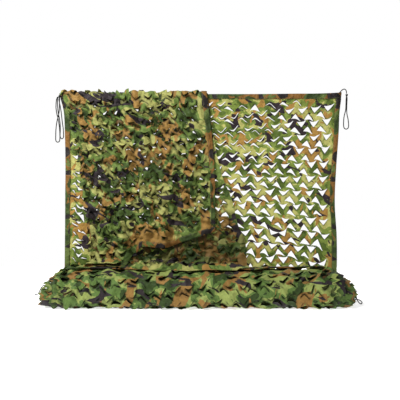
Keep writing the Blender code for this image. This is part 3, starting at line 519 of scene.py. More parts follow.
def leaf_cloth(
    name, place, outline, cuts, fill, relief, material, *, sink, rise, edge_shade_reach, painted_shade_at, shift=(0.0, 0.0)
):
    """A sheet of leaf-cut cloth: outline and fill are flat places, cuts are (arms, root, curl, tilt, gap).

    The tongue of each cut is joined to the sheet along its root and curls out by an angle, to the viewer if
    it is positive. The cloth sinks along the arms of a cut and rises along its root. A vertex attribute holds
    painted shade, which darkens the colour along each cut's edge and elsewhere as the given shade function
    says. shift moves the print on the cloth.
    """
    places = [tuple(point) for point in outline]
    faces = [list(range(len(places)))]
    for arms, root, *_rest in cuts:
        ring = list(arms) + list(root[::-1])
        turn = sum(a[0] * b[1] - b[0] * a[1] for a, b in zip(ring, ring[1:] + ring[:1]))
        numbers = list(range(len(places), len(places) + len(ring)))
        faces.append(numbers if turn > 0 else numbers[::-1])
        places += [tuple(point) for point in ring]
    places += [tuple(point) for point in fill]
    flat, _edges, triangles, verts_from, _edges_from, faces_from = delaunay_2d_cdt(
        [Vector(point) for point in places], [], faces, 1, 1e-6
    )
    faces = [tuple(triangle) for triangle, origins in zip(triangles, faces_from) if max(origins) == 0]
    flat = np.array([tuple(point) for point in flat])
    number = {}
    for new, old in enumerate(verts_from):
        for index in old:
            number[index] = new
    edges = np.vstack([arms[1:-1] for arms, *_rest in cuts])
    roots = np.vstack([root for _arms, root, *_rest in cuts])
    out = relief(flat[:, 0], flat[:, 1]) - sink * nearness(flat, edges, SINK_REACH)
    out = out + rise * nearness(flat, roots, RISE_REACH)
    # Painted shade along the edges of each cut, darkest on the edge
    painted_shade = nearness(flat, edges, edge_shade_reach)
    points = out_of(place, flat[:, 0], flat[:, 1], out)
    extra_flat, extra_turned, extra_out = [], [], []
    first = len(outline)
    base = len(flat)
    for arms, root, curl, tilt, gap in cuts:
        count = len(arms)
        joined = np.vstack([arms[:1], root, arms[-1:]])
        rooted = resample(joined, count)
        numbers = [number[first + step] for step in range(count)]
        root_numbers = [number[first + count + len(root) - 1 - step] for step in range(len(root))]
        reach = arms - rooted
        lengths = np.maximum(np.linalg.norm(reach, axis=1), 1e-6)
        reach = reach * (np.maximum(lengths - gap, 0.15 * lengths) / lengths)[:, None]
        lengths = np.maximum(np.linalg.norm(reach, axis=1), 1e-6)
        longest = lengths.max()
        rows = []
        for row in range(1, TONGUE_ROWS + 1):
            along = row / TONGUE_ROWS
            turn = curl * (1 + tilt * np.linspace(-1.0, 1.0, count)) * (along * lengths / longest) ** 0.65
            small = np.abs(turn) < 1e-3
            safe = np.where(small, 1.0, turn)
            inward = np.where(small, 1.0, np.sin(safe) / safe) * lengths * along
            outward = np.where(small, 0.0, (1 - np.cos(safe)) / safe) * lengths * along
            turned = rooted + reach / lengths[:, None] * inward[:, None]
            rows.append(base + len(extra_flat) + np.arange(count - 2))
            extra_flat += list((rooted + reach * along)[1:-1])
            extra_turned += list(turned[1:-1])
            extra_out += list(outward[1:-1])
        tip_a, tip_b = numbers[0], numbers[-1]
        line = [tip_a] + root_numbers + [tip_b]
        upper = [tip_a] + list(rows[0]) + [tip_b]
        at_low, at_high = 0, 0
        while at_low < len(line) - 1 or at_high < len(upper) - 1:
            line_behind = (at_low + 1) * (len(upper) - 1) <= (at_high + 1) * (len(line) - 1)
            if at_high >= len(upper) - 1 or (at_low < len(line) - 1 and line_behind):
                faces.append((line[at_low], line[at_low + 1], upper[at_high]))
                at_low += 1
            else:
                faces.append((line[at_low], upper[at_high + 1], upper[at_high]))
                at_high += 1
        for low, high in zip(rows, rows[1:]):
            for step in range(count - 3):
                faces.append((low[step], low[step + 1], high[step + 1], high[step]))
            faces.append((tip_a, low[0], high[0]))
            faces.append((low[-1], tip_b, high[-1]))
        first += count + len(root)
    extra_flat, extra_turned = np.array(extra_flat), np.array(extra_turned)
    out = relief(extra_flat[:, 0], extra_flat[:, 1]) + rise + np.array(extra_out)
    points = np.vstack([points, out_of(place, extra_turned[:, 0], extra_turned[:, 1], out)])
    flat = np.vstack([flat, extra_flat])
    painted_shade = np.concatenate([painted_shade, np.zeros(len(extra_flat))])
    # More painted shade from the given shade function, where other cloth lies over or around this one
    painted_shade = np.maximum(painted_shade, painted_shade_at(flat[:, 0], flat[:, 1]))
    faces = [tuple(int(corner) for corner in face) for face in faces if len(set(face)) > 2]
    return cloth_object(name, points, faces, flat + np.array(shift), material, painted_shade)


def cloth_object(name, points, faces, flat, material, painted_shade=None):
    """A sheet's object, with its flat places in metres as its UV map."""
    points = np.array(points)
    points[:, 2] = np.maximum(points[:, 2], FLOOR + OFF_FLOOR)
    mesh = bpy.data.meshes.new(name)
    mesh.from_pydata([tuple(point) for point in points], [], faces)
    work = bmesh.new()
    work.from_mesh(mesh)
    bmesh.ops.delete(work, geom=[corner for corner in work.verts if not corner.link_faces], context="VERTS")
    bmesh.ops.recalc_face_normals(work, faces=work.faces)
    work.verts.index_update()
    work.to_mesh(mesh)
    work.free()
    used = sorted({corner for face in faces for corner in face})
    flat = np.asarray(flat)[used]
    uv = mesh.uv_layers.new(name="flat")
    loops = np.empty(len(mesh.loops), dtype=np.int64)
    mesh.loops.foreach_get("vertex_index", loops)
    uv.data.foreach_set("uv", flat[loops].astype(np.float32).ravel())
    # The painted shade goes on as a vertex attribute that darkens the colour
    if painted_shade is not None:
        dark = mesh.attributes.new("painted_shade", "FLOAT", "POINT")
        dark.data.foreach_set("value", np.asarray(painted_shade)[used].astype(np.float32))
    mesh.materials.append(material)
    mesh.shade_smooth()
    return add_object(name, mesh)


def jittered(low_across, high_across, low_along, high_along, gap, seed):
    """Uneven places that fill a part of the flat cloth."""
    random = np.random.default_rng(seed)
    across = np.arange(low_across + gap, high_across - gap / 2, gap)
    along = np.arange(low_along + gap, high_along - gap / 2, gap * 0.87)
    grid = np.stack(np.meshgrid(across, along), axis=-1)
    grid[1::2, :, 0] += gap / 2
    grid = grid.reshape(-1, 2) + random.uniform(-0.22, 0.22, (grid.size // 2, 2)) * gap
    inside = (grid[:, 0] < high_across - gap / 3) & (grid[:, 0] > low_across + gap / 3)
    return grid[inside]


def border(low_across, high_across, low_along, high_along, gap):
    """The outline of a rectangle of cloth, with a place at each gap."""
    across = np.linspace(low_across, high_across, max(int((high_across - low_across) / gap), 2) + 1)
    along = np.linspace(low_along, high_along, max(int((high_along - low_along) / gap), 2) + 1)
    return (
        [(at, low_along) for at in across]
        + [(high_across, at) for at in along[1:]]
        + [(at, high_along) for at in across[::-1][1:]]
        + [(low_across, at) for at in along[::-1][1:-1]]
    )


def slit_opening(from_right, along):
    """How far the leaf cuts gape: barely in the slack cloth by the drape and behind its foot, else wide."""
    slack = ease((from_right - 0.17) / 0.28) * (1 - ease((along - 0.24) / 0.35))
    slack = np.maximum(slack, 0.8 * (1 - ease((along - 0.02) / 0.12)))
    near_edge = mix(0.70, 0.49, ease((along - 0.30) / 0.50))
    behind = span(from_right, near_edge, 0.06, FOLD_AT, 0.04)
    return 1 - mix(slack, ease((along - 0.69) / 0.08), behind)


def cut_grid(low_row, high_row, columns, pitch=SLIT_PITCH):
    """Where the cuts lie on the flat net: across, along and whether the tongue hangs down or stands up."""
    for row in range(low_row, high_row):
        for half_step in range(columns):
            from_right = (half_step + 0.9) * pitch / 2
            along = (row + 0.65) * pitch + 0.09 * (from_right - 0.4)
            yield from_right, along, half_step % 2 == 0


def inside_of(lines, low_across, high_across, low_along, high_along):
    """Whether all places of some lines lie in a rectangle of the flat cloth."""
    points = np.vstack(lines)
    return bool(
        (points[:, 0] > low_across).all() and (points[:, 0] < high_across).all()
        and (points[:, 1] > low_along).all() and (points[:, 1] < high_along).all()
    )


def camouflage(name, *, seed, glow, size, cover, colours, stitched=False):
    """Woodland-print cloth: blotches of three greens, leaf brown and near black on a thin plain weave.

    glow is how much light comes through; cover says where brown and black begin, lower for more of them.
    """
    material, tree = new_material(name)
    place = add_node(tree, "ShaderNodeUVMap", uv_map="flat")
    shifted = add_node(tree, "ShaderNodeMapping", [
        ("Vector", place.outputs["UV"]), ("Location", (seed * 3.7, seed * 1.9, 0.0)),
        ("Rotation", (0.0, 0.0, 0.35)),
    ])
    # Three layers of blotches, each about 110 mm across at size 1: the greens, the brown, the black
    blotches = []
    for number, (scale, detail, warp, stretch) in enumerate((
        (9.5, 3.0, 0.6, (1.0, 1.25, 1.0)),
        (8.5, 3.0, 0.7, (1.3, 0.9, 1.0)),
        (9.5, 2.0, 0.9, (0.8, 1.5, 1.0)),
    )):
        moved = add_node(tree, "ShaderNodeMapping", [
            ("Vector", shifted.outputs["Vector"]), ("Location", (4.3 * number, 7.1 * number, 0.0)),
            ("Rotation", (0.0, 0.0, 0.9 * number)), ("Scale", stretch),
        ])
        blotches.append(add_node(tree, "ShaderNodeTexNoise", [
            ("Vector", moved.outputs["Vector"]), ("Scale", scale / size), ("Detail", detail),
            ("Roughness", 0.45), ("Distortion", warp),
        ]))
    greens = add_node(tree, "ShaderNodeValToRGB", [("Fac", blotches[0].outputs["Fac"])])
    greens.color_ramp.interpolation = "CONSTANT"
    greens.color_ramp.elements[0].color = linear(colours[0])
    greens.color_ramp.elements[1].position = 0.44
    greens.color_ramp.elements[1].color = linear(colours[1])
    greens.color_ramp.elements.new(0.53).color = linear(colours[2])
    colour = greens.outputs["Color"]
    for blotch, start, printed in zip(blotches[1:], cover, colours[3:]):
        edge = add_node(tree, "ShaderNodeMapRange", [
            ("Value", blotch.outputs["Fac"]), ("From Min", start), ("From Max", start + 0.006),
        ])
        colour = add_node(tree, "ShaderNodeMix", [
            (0, edge.outputs["Result"]), (6, colour), (7, linear(printed)),
        ], data_type="RGBA").outputs[2]
    # Uneven dye, in patches 20 mm and finer, and painted shade: the vertex attribute darkens cut edges and
    # covered cloth
    worn = add_node(tree, "ShaderNodeTexNoise", [
        ("Vector", place.outputs["UV"]), ("Scale", 55.0), ("Detail", 4.0), ("Roughness", 0.65),
    ])
    tone = add_node(tree, "ShaderNodeMapRange", [
        ("Value", worn.outputs["Fac"]), ("From Min", 0.25), ("From Max", 0.75),
        ("To Min", 0.80), ("To Max", 1.18),
    ])
    painted_shade = add_node(tree, "ShaderNodeAttribute", attribute_name="painted_shade")
    shaded = add_node(tree, "ShaderNodeMapRange", [
        ("Value", painted_shade.outputs["Fac"]), ("To Min", 1.0), ("To Max", 0.08),
    ])
    value = add_node(tree, "ShaderNodeMath", [
        (0, tone.outputs["Result"]), (1, shaded.outputs["Result"]),
    ], operation="MULTIPLY")
    toned = add_node(tree, "ShaderNodeHueSaturation", [("Value", value.outputs[0]), ("Color", colour)])
    colour = toned.outputs["Color"]
    if stitched:
        # Sewing thread in 3.3 mm stitches, 23.5 mm in from the edge on both sides
        sides = add_node(tree, "ShaderNodeSeparateXYZ", [("Vector", place.outputs["UV"])])
        inward = add_node(tree, "ShaderNodeMath", [(0, sides.outputs["X"])], operation="ABSOLUTE")
        line = add_node(tree, "ShaderNodeMath", [
            (0, inward.outputs[0]), (1, 0.0235), (2, 0.0007),
        ], operation="COMPARE")
        dash = add_node(tree, "ShaderNodeMath", [(0, sides.outputs["Y"]), (1, 0.0045)], operation="MODULO")
        sewn = add_node(tree, "ShaderNodeMath", [(0, dash.outputs[0]), (1, 0.0033)], operation="LESS_THAN")
        thread = add_node(tree, "ShaderNodeMath", [
            (0, line.outputs[0]), (1, sewn.outputs[0]),
        ], operation="MULTIPLY")
        colour = add_node(tree, "ShaderNodeMix", [
            (0, thread.outputs[0]), (6, colour), (7, linear("#5d5b3c")),
        ], data_type="RGBA").outputs[2]
    # Crumples about 30 and 14 mm apart, and a weave with a thread every 1.2 mm
    bent = add_node(tree, "ShaderNodeTexNoise", [("Vector", place.outputs["UV"]), ("Scale", 20.0)])
    pushed = add_node(tree, "ShaderNodeVectorMath", [
        (0, bent.outputs["Color"]), (1, (0.02, 0.02, 0.0)), (2, place.outputs["UV"]),
    ], operation="MULTIPLY_ADD")
    coarse, small = (
        add_node(tree, "ShaderNodeTexVoronoi", [("Vector", pushed.outputs[0]), ("Scale", scale)])
        for scale in (34.0, 71.0)
    )
    warp, weft = (
        add_node(tree, "ShaderNodeTexWave", [
            ("Vector", place.outputs["UV"]), ("Scale", 260.0), ("Distortion", 0.6), ("Detail", 1.0),
        ], bands_direction=direction)
        for direction in ("X", "Y")
    )
    weave = add_node(tree, "ShaderNodeMath", [
        (0, warp.outputs["Fac"]), (1, weft.outputs["Fac"]),
    ], operation="MAXIMUM")
    normal = []
    for height, strength, distance in (
        (coarse.outputs["Distance"], 0.7, 0.010), (small.outputs["Distance"], 0.6, 0.004),
        (weave.outputs[0], 0.25, 0.0004),
    ):
        bump = add_node(tree, "ShaderNodeBump", [
            ("Height", height), ("Strength", strength), ("Distance", distance),
        ] + normal)
        normal = [("Normal", bump.outputs["Normal"])]
    cloth = add_node(tree, "ShaderNodeBsdfPrincipled", [
        ("Base Color", colour), ("Roughness", 0.6), ("Specular IOR Level", 0.18),
        ("Sheen Weight", 0.03), ("Sheen Roughness", 0.5),
    ] + normal)
    through = add_node(tree, "ShaderNodeBsdfTranslucent", [("Color", colour)] + normal)
    both = add_node(tree, "ShaderNodeMixShader", [(0, glow), (1, cloth.outputs[0]), (2, through.outputs[0])])
    add_node(tree, "ShaderNodeOutputMaterial", [("Surface", both.outputs[0])])
    return material


# Printed cloth: dark, mid and light green, leaf brown, purplish black. A single thickness lets light through
# and looks pale and yellowish. The copies for the drape's layers and for the roll carry painted shade: darker
# colours and less light through, and the rolled one is greener too.
net_cloth = camouflage(
    "woodland print cloth", seed=1, glow=0.32, size=0.75, cover=(0.57, 0.61),
    colours=("#4c5c25", "#6d7d37", "#a6a45e", "#977439", "#2d2528"),
)
layered_cloth_painted_shade = camouflage(
    "woodland print cloth in layers, painted shade", seed=1, glow=0.10, size=1.05, cover=(0.545, 0.605),
    colours=("#3b4d1f", "#5e7133", "#979755", "#8f6e37", "#2d2528"),
)
rolled_cloth_painted_shade = camouflage(
    "woodland print cloth, rolled, painted shade", seed=1, glow=0.08, size=1.05, cover=(0.565, 0.595),
    colours=("#304219", "#577034", "#8c9851", "#8c6a35", "#2b2426"),
)


def net_relief(from_right, along):
    """Soft unevenness of the hung cloth, flat along its bound edges and bunched where it meets the roll."""
    near = ease(np.minimum(np.minimum(from_right, NET_WIDTH - from_right), along) / 0.06)
    bunched = span(along, 0.93, 0.05, 1.06, 0.05)
    return near * (
        0.0026 * waves(from_right, along, 0.05, seed=3) + 0.0040 * waves(from_right, along, 0.14, seed=4)
        + bunched * 0.007 * creases(from_right, along, 0.05, seed=5)
    )


def net_painted_shade(from_right, along):
    """Painted shade: the net is darkened beside the foot of the drape, and less so right behind it."""
    beside = span(from_right, 0.49, 0.06, 0.76, 0.22)
    behind = span(from_right, 0.70, 0.20, 1.20, 0.20)
    return (0.78 * beside + 0.22 * behind * (1 - beside)) * ease((along - 0.73) / 0.13)


# The cuts of the hung net, clear of its bindings and of the floor. A tongue in slack cloth barely stands out,
# and one in stretched cloth rolls right over. One cut by the top edge is torn wide.
PANEL_SEED = 11
RIM = BINDING_WIDTH + 0.003
CUTS_STOP = STRAIGHT_FALL - 0.02
TORN_ACROSS, TORN_ALONG, TORN_REACH = 0.471, 0.055, 0.02
WIDEST = 1.4
SLACK_CURL, STRETCHED_CURL = 42, 250
TO_VIEWER = 0.35
random = np.random.default_rng(PANEL_SEED)
cuts = []
for from_right, along, upward in cut_grid(-2, 17, 42):
    from_right -= 0.018 * float(ease((from_right - 1.0) / 0.4))
    pulled = float(ease((from_right - FOLD_AT) / 0.04) * ease((along - 0.35) / 0.15))
    quiet = float(span(from_right, 0.50, 0.06, FOLD_AT, 0.04) * ease((along - 0.70) / 0.08))
    opening = float(slit_opening(from_right, along))
    low = float(ease((along - 0.40) / 0.25))
    gaping = opening - 0.1 * low + random.normal(0, 0.22 + 0.2 * low)
    gaping = float(np.clip(gaping, 0.0, WIDEST)) * (1 - quiet)
    torn = math.exp(-((from_right - TORN_ACROSS) ** 2 + (along - TORN_ALONG) ** 2) / TORN_REACH**2)
    opening, gaping = mix(opening, 1.0, torn), mix(gaping, WIDEST, torn)
    arms, root = cut_places(
        from_right + random.normal(0, 0.0015), along + random.normal(0, 0.0015), upward,
        SLIT_PITCH * random.normal(mix(1.0, 1.06, opening), 0.05 + 0.05 * low + 0.09 * pulled),
        random.normal(0, 0.08 + 0.08 * low + 0.08 * pulled), gaping, SLASH,
        pulled * random.uniform(0.6, 1.0),
    )
    if pulled > 0.5 or not inside_of((arms, root), RIM, NET_WIDTH - RIM, RIM, CUTS_STOP):
        continue
    side = 1 if random.random() < TO_VIEWER else -1
    curl = mix(SLACK_CURL, STRETCHED_CURL, min(opening, gaping)) + random.normal(0, 25)
    curl = side * math.radians(curl)
    gap = mix(mix(0.0040, 0.011, opening), -0.003, quiet)
    cuts.append((arms, root, curl * (1 - 0.85 * quiet), random.normal(0, 0.25), gap))
# Beside the drape's folded edge the cloth is bunched, and its cuts show small, askew and close together
BUNCHED_SEED = 15
BUNCHED_PITCH = 0.046
BUNCHED_FROM = 1.372
BUNCHED_BELOW = 0.42
random = np.random.default_rng(BUNCHED_SEED)
for from_right, along, upward in cut_grid(4, 26, 70, BUNCHED_PITCH):
    arms, root = cut_places(
        from_right, along, upward, BUNCHED_PITCH * random.normal(1.0, 0.16), random.normal(0, 0.3),
        random.uniform(0.3, 1.2), SLASH, random.uniform(0.0, 0.9),
    )
    if not inside_of((arms, root), BUNCHED_FROM, NET_WIDTH - RIM, BUNCHED_BELOW, CUTS_STOP):
        continue
    curl = math.radians(random.uniform(90, 240)) * (1 if random.random() < TO_VIEWER else -1)
    cuts.append((arms, root, curl, random.normal(0, 0.3), 0.005))
panel = leaf_cloth(
    "hung_net", net_place, border(0.0, NET_WIDTH, 0.0, NET_LENGTH, 0.02), cuts,
    jittered(0.0, NET_WIDTH, 0.0, NET_LENGTH, 0.012, seed=5), net_relief, net_cloth,
    sink=0.0025, rise=0.002, edge_shade_reach=0.0028, painted_shade_at=net_painted_shade,
)

# The roll: six turns, counted from the outer one inwards. Its free end lies END_STEP up, on the turn below
# it, and a turn's outline is taken OFF_END short of its ends, where the next turn shows.
END_STEP = 0.006
TURNS = 6.0
TURN_STEPS = 1500
OFF_END = 0.002


def section_at(across):
    """Back, front, underside and crest of the roll's outline."""
    return [np.interp(across, ROLL_SECTIONS[:, 0], ROLL_SECTIONS[:, column]) for column in (1, 2, 3, 4)]


def between_turns(turn):
    """The turn that a place is in, the next one inwards, and how far it has gone over to that one."""
    low = np.clip(np.floor(turn).astype(int), 0, LAST_TURN)
    return low, np.minimum(low + 1, LAST_TURN), ease((turn - low - 0.8) / 0.2)


def roll_sizes(turn, across):
    """Back, front, underside and crest of the outline of a turn."""
    low, high, part = between_turns(turn)
    values = []
    for number in (low, high):
        outer = np.maximum(number - 1, 0)
        left_end, right_end = TURN_ENDS[number, 0] + OFF_END, TURN_ENDS[number, 1] - OFF_END
        left_from = np.where(number > 0, TURN_ENDS[outer, 0] - OFF_END, 0.0)
        right_from = np.where(number > 0, TURN_ENDS[outer, 1] + OFF_END, 0.0)
        left = np.clip(across, left_end, np.maximum(left_from, left_end))
        right = np.clip(across, np.minimum(right_from, right_end), right_end)
        values.append(section_at(np.where(across < 0, left, right)))
    return [mix(first, second, part) for first, second in zip(*values)]


def roll_outline(across, angle, sizes):
    """Forward place and height of the roll's surface at an angle, from 0 at its back over the top."""
    back, front, underside, crest = sizes
    half_depth = (back - front) / 2
    half_height = (crest - underside) / 2
    round_angle = np.mod(angle, 2 * math.pi)
    degrees = np.degrees(round_angle)
    sunk = 0.0
    for centre, around, lean, half_width, depth in ROLL_TWISTS:
        offset = (across - centre - lean * (degrees - around)) / half_width
        sunk = sunk + depth * np.exp(-((degrees - around) / 45) ** 2) * np.exp(-offset * offset)
    scale = 1 - sunk / np.maximum(half_height, 0.03)
    cosine, sine = np.cos(round_angle), np.sin(round_angle)
    square = (np.abs(cosine) ** 5 + np.abs(sine) ** 5) ** -0.2
    under_front = (cosine < 0) & (sine < 0)
    reach = np.where(under_front, np.abs(cosine) * square, np.sign(cosine) * np.abs(cosine) ** 0.8)
    reach = np.where(under_front, -reach, reach)
    rise = np.where(under_front, -np.abs(sine) * square, np.sign(sine) * np.abs(sine) ** 0.8)
    forward = -(back + front) / 2 - half_depth * scale * reach
    height = underside + half_height * (1 + scale * rise)
    return forward, np.maximum(height, 0.0015)


def end_angle(across):
    """The angle at which the net's free end lies on the roll."""
    across = np.clip(across, ROLL_END_LINE[0][0], ROLL_END_LINE[-1][0])
    back, front, _underside, _crest = roll_sizes(np.zeros_like(across), across)
    middle = -(back + front) / 2
    part = (middle + table_at(ROLL_END_LINE, across)[0]) / ((back - front) / 2)
    return np.arccos(np.sign(part) * np.abs(part) ** 1.25)


def wound_place(across, turn):
    """A place on the spiral of the roll."""
    angle = end_angle(across) - 2 * math.pi * turn
    forward, height = roll_outline(across, angle, roll_sizes(turn, across))
    lift = END_STEP * np.exp(-turn * 5)
    return np.stack([across, -forward, FLOOR + height + lift * np.maximum(np.sin(angle), 0.0)], axis=-1)


# How much cloth is wound up by each turn, measured along a line in the middle of the roll
turn_steps = np.linspace(0.0, TURNS - 0.05, TURN_STEPS)
middle_line = wound_place(np.full_like(turn_steps, 0.3), turn_steps)
WOUND = np.concatenate([[0.0], np.cumsum(np.linalg.norm(np.diff(middle_line, axis=0), axis=1))])
ROLLED = float(WOUND[-1])


def roll_place(from_right, along):
    """The middle of the rolled cloth; along runs from the inner end at 0 to the free end."""
    turn = np.interp(ROLLED - along, WOUND, turn_steps)
    low, high, part = between_turns(turn)
    left, right = (mix(TURN_ENDS[low, side], TURN_ENDS[high, side], part) for side in (0, 1))
    edge = np.exp(-((np.minimum(from_right, NET_WIDTH - from_right) / 0.05) ** 2))
    frayed = 0.013 * edge * creases(along, along, 0.045, seed=23) * ease((ROLLED - along - 0.05) / 0.05)
    return wound_place(mix(right, left, from_right / NET_WIDTH) + frayed, turn)


def roll_relief(from_right, along):
    """Bunched cloth on the roll: uneven swells, less at its free end and at its inner turns."""
    wound = ROLLED - along
    part = ease((1.15 - wound) / 0.2) * ease((wound - 0.01) / 0.06) * 0.8 + 0.2
    ends = np.minimum(from_right, NET_WIDTH - from_right)
    part = np.maximum(part, 1.2 * (ease((wound - 1.0) / 0.1) * (1 - ease((ends - 0.05) / 0.03))))
    beside = along - np.interp(from_right, scallop_steps, scallop_along)
    lip = np.exp(-(((beside + 0.024) / 0.036) ** 2))
    lip = lip * (0.006 + 0.007 * np.cos(2 * math.pi * (from_right - SCALLOP_START) / SCALLOP_PITCH))
    return lip + part * (
        0.0050 * waves(from_right, along, 0.12, seed=21) + 0.0034 * creases(from_right, along, 0.05, seed=22)
    )


def roll_painted_shade(from_right, along):
    """Painted shade: the inner turns are darkened, but for their own ends, and all the roll a little."""
    ends = np.minimum(from_right, NET_WIDTH - from_right)
    inner = 0.85 * ease((ROLLED - along - 0.93) / 0.08) * np.maximum(ease((ends - 0.025) / 0.03), 0.4)
    # A light painted shade over all of the roll
    return np.maximum(inner, 0.15)


# The cuts of the roll: in the cloth of its outer turn, in the ends of its inner turns, and a row of scallops
# along its foot. On its shoulder, which is seen edge on, they are few and lie flat.
ROLL_SEED = 12
OUTER = 1.00
END_CUTS = 3.3
END_WIDTH = 0.13
SCALLOPS = 18
SCALLOP_START = 0.060
SCALLOP_HEIGHT = 0.014
SCALLOP_PITCH = 0.0805
ABOVE_SCALLOPS, BELOW_SCALLOPS = 0.072, 0.056
SHOULDER_HEIGHT = 0.138
random = np.random.default_rng(ROLL_SEED)
under_steps = np.linspace(0.25, 0.75, 201)


def scallop_line(from_right):
    """Where on the rolled cloth its outer turn comes down to the height of the lowest row of cuts."""
    along = ROLLED - np.interp(under_steps, turn_steps, WOUND)
    places = roll_place(np.full_like(under_steps, from_right), along)
    low = (places[:, 2] - FLOOR < SCALLOP_HEIGHT) & (places[:, 1] < -0.25)
    return ROLLED - float(np.interp(under_steps[np.argmax(low)], turn_steps, WOUND))


scallop_steps = np.linspace(0.02, 1.48, 60)
scallop_along = np.array([scallop_line(at) for at in scallop_steps])
cuts = []
for from_right, along, upward in cut_grid(-2, 80, 42):
    place_along = along + 0.2
    beside = place_along - float(np.interp(from_right, scallop_steps, scallop_along))
    at_end = place_along < ROLLED - OUTER or min(from_right, NET_WIDTH - from_right) < 0.10
    arms, root = cut_places(
        from_right, place_along, upward, SLIT_PITCH * (0.92 if at_end else 1.06), random.normal(0, 0.15),
        random.uniform(0.0, 1.0 if at_end else 0.6),
    )
    raised = random.random() < (0.75 if at_end else 0.35)
    curl = math.radians(abs(random.normal((110 if at_end else 75) if raised else 14, 18)) + 8)
    tilt = random.normal(0, 0.5)
    low_along = ROLLED - (OUTER if END_WIDTH < from_right < NET_WIDTH - END_WIDTH else END_CUTS)
    if not inside_of((arms, root), 0.010, NET_WIDTH - 0.010, low_along, ROLLED - BINDING_WIDTH - 0.004):
        continue
    if -ABOVE_SCALLOPS < beside < BELOW_SCALLOPS:
        continue
    height = float(roll_place(np.array([from_right]), np.array([place_along]))[0, 2]) - FLOOR
    gap = 0.003
    if height > SHOULDER_HEIGHT and not at_end:
        if random.random() < 0.5:
            continue
        curl *= 0.3
        gap = -0.002
    cuts.append((arms, root, curl, tilt, gap))
for number in range(SCALLOPS):
    from_right = SCALLOP_START + SCALLOP_PITCH * number + random.normal(0, 0.003)
    place_along = float(np.interp(from_right, scallop_steps, scallop_along))
    arms, root = cut_places(
        from_right, place_along, True, SLIT_PITCH * random.normal(1.12, 0.05), random.normal(0, 0.08), 1.0,
        SCALLOP, 1.0,
    )
    arms[:, 1] = 2 * place_along - arms[:, 1]
    root[:, 1] = 2 * place_along - root[:, 1]
    cuts.append((arms, root, math.radians(random.normal(38, 8)), random.normal(0, 0.2), 0.004))
fill = np.vstack([
    jittered(0.0, NET_WIDTH, ROLLED - OUTER, ROLLED, 0.012, seed=6),
    jittered(0.0, 0.15, ROLLED - 3.35, ROLLED - OUTER, 0.013, seed=7),
    jittered(NET_WIDTH - 0.15, NET_WIDTH, ROLLED - 3.35, ROLLED - OUTER, 0.013, seed=8),
    jittered(0.15, NET_WIDTH - 0.15, 0.0, ROLLED - OUTER, 0.07, seed=9),
])
rolled = leaf_cloth(
    "rolled_net", roll_place, border(0.0, NET_WIDTH, 0.0, ROLLED, 0.014), cuts, fill, roll_relief,
    rolled_cloth_painted_shade, sink=0.006, rise=0.003, edge_shade_reach=0.0065, painted_shade_at=roll_painted_shade, shift=(0.0, 1.2),
)
with bpy.context.temp_override(active_object=panel, selected_editable_objects=[panel, rolled]):
    bpy.ops.object.join()
stand_for(panel, "net")


# The drape: a second length of the same cloth, folded double along its middle. It hangs over the top edge,
# its front layer ends in a bound hem, and its foot runs out over the roll.
DRAPE_EDGES = metres(
    # drop, left fold, front edge, back edge
    (0, -735, 35, 42), (190, -681, 58, 66), (350, -643, 72, 95), (450, -632, 77, 121),
    (560, -619, 79, 167), (700, -599, 80, 201), (780, -589, 80, 238), (920, -579, 80, 248),
)
DRAPE_HEM = metres(
    # across, drop
    (-330, 845), (-307, 812), (-184, 818), (-83, 785), (80, 732),
)
DRAPE_FOLDS = (
    # across, half width, rise at the top, rise at the foot, lean
    (-0.63, 0.045, 0.004, 0.014, 0.10), (-0.53, 0.045, 0.010, 0.028, 0.06),
    (-0.40, 0.045, 0.006, 0.032, -0.05), (-0.29, 0.050, 0.012, 0.026, 0.08),
    (-0.17, 0.042, 0.008, 0.032, -0.06), (-0.06, 0.042, 0.014, 0.022, 0.03),
    (0.03, 0.045, 0.010, 0.018, 0.05),
)
BAND_FOLDS = (
    # across, half width, rise at the top, rise at the foot, lean
    (-0.46, 0.070, 0.000, 0.012, 0.05), (-0.22, 0.060, 0.000, 0.014, -0.06),
    (-0.02, 0.055, 0.000, 0.016, 0.04), (0.11, 0.045, 0.001, 0.018, 0.10),
    (0.20, 0.045, 0.001, 0.014, 0.16),
)
DRAPE_TAIL = metres(
    # across, reach
    (-580, 150), (-480, 185), (-330, 255), (-120, 275), (80, 265), (200, 252), (250, 205),
)
DRAPE_WIDTH = 1.50
DRAPE_PITCH = 0.062
FOLDED_LENGTH = DRAPE_WIDTH / 2
GATHER_ACROSS = -0.345
DRAPE_BACK_OFF = 0.0062
LAYER_GAP = 0.0053
OVER_TOP = 0.030
BEHIND_TOP = 0.060
OVER_CENTRE = 0.0009
FOLD_TURN = 0.012
FALL_DROP = 0.87
FALL_RADIUS = 0.050
LAID_OFF = 0.0055
SETTLED_OFF = 0.0021
LAID_BIND = 0.0036
LAID_CLEAR = 0.018
EDGE_CLEAR = 0.022
BESIDE_CLEAR = 0.012

# The roll's upper side as heights on a grid, for the drape to lie on
GRID_ACROSS = np.linspace(-0.786, 0.764, 156)
GRID_FORWARD = np.linspace(0.0, 0.42, 211)
half_turn = np.linspace(0.0, math.pi, 60)
ROLL_TOP = []
for across in GRID_ACROSS:
    forward, height = roll_outline(np.full_like(half_turn, across), half_turn, section_at(across))
    row = np.interp(GRID_FORWARD, forward, height, left=0.0, right=0.0)
    if ROLL_END_LINE[0][0] <= across <= ROLL_END_LINE[-1][0]:
        end_line = -float(table_at(ROLL_END_LINE, across)[0])
        row = row + END_STEP * ((GRID_FORWARD < end_line) & (row > 0.0))
    ROLL_TOP.append(row)
ROLL_TOP = np.array(ROLL_TOP)


def roll_top(across, forward):
    """The height above the floor of the roll's upper side."""
    first, second = (
        np.clip((at - grid[0]) / (grid[1] - grid[0]), 0, len(grid) - 1.001)
        for at, grid in ((across, GRID_ACROSS), (forward, GRID_FORWARD))
    )
    low, near = first.astype(int), second.astype(int)
    part, beside = first - low, second - near
    return mix(
        mix(ROLL_TOP[low, near], ROLL_TOP[low + 1, near], part),
        mix(ROLL_TOP[low, near + 1], ROLL_TOP[low + 1, near + 1], part),
        beside,
    )


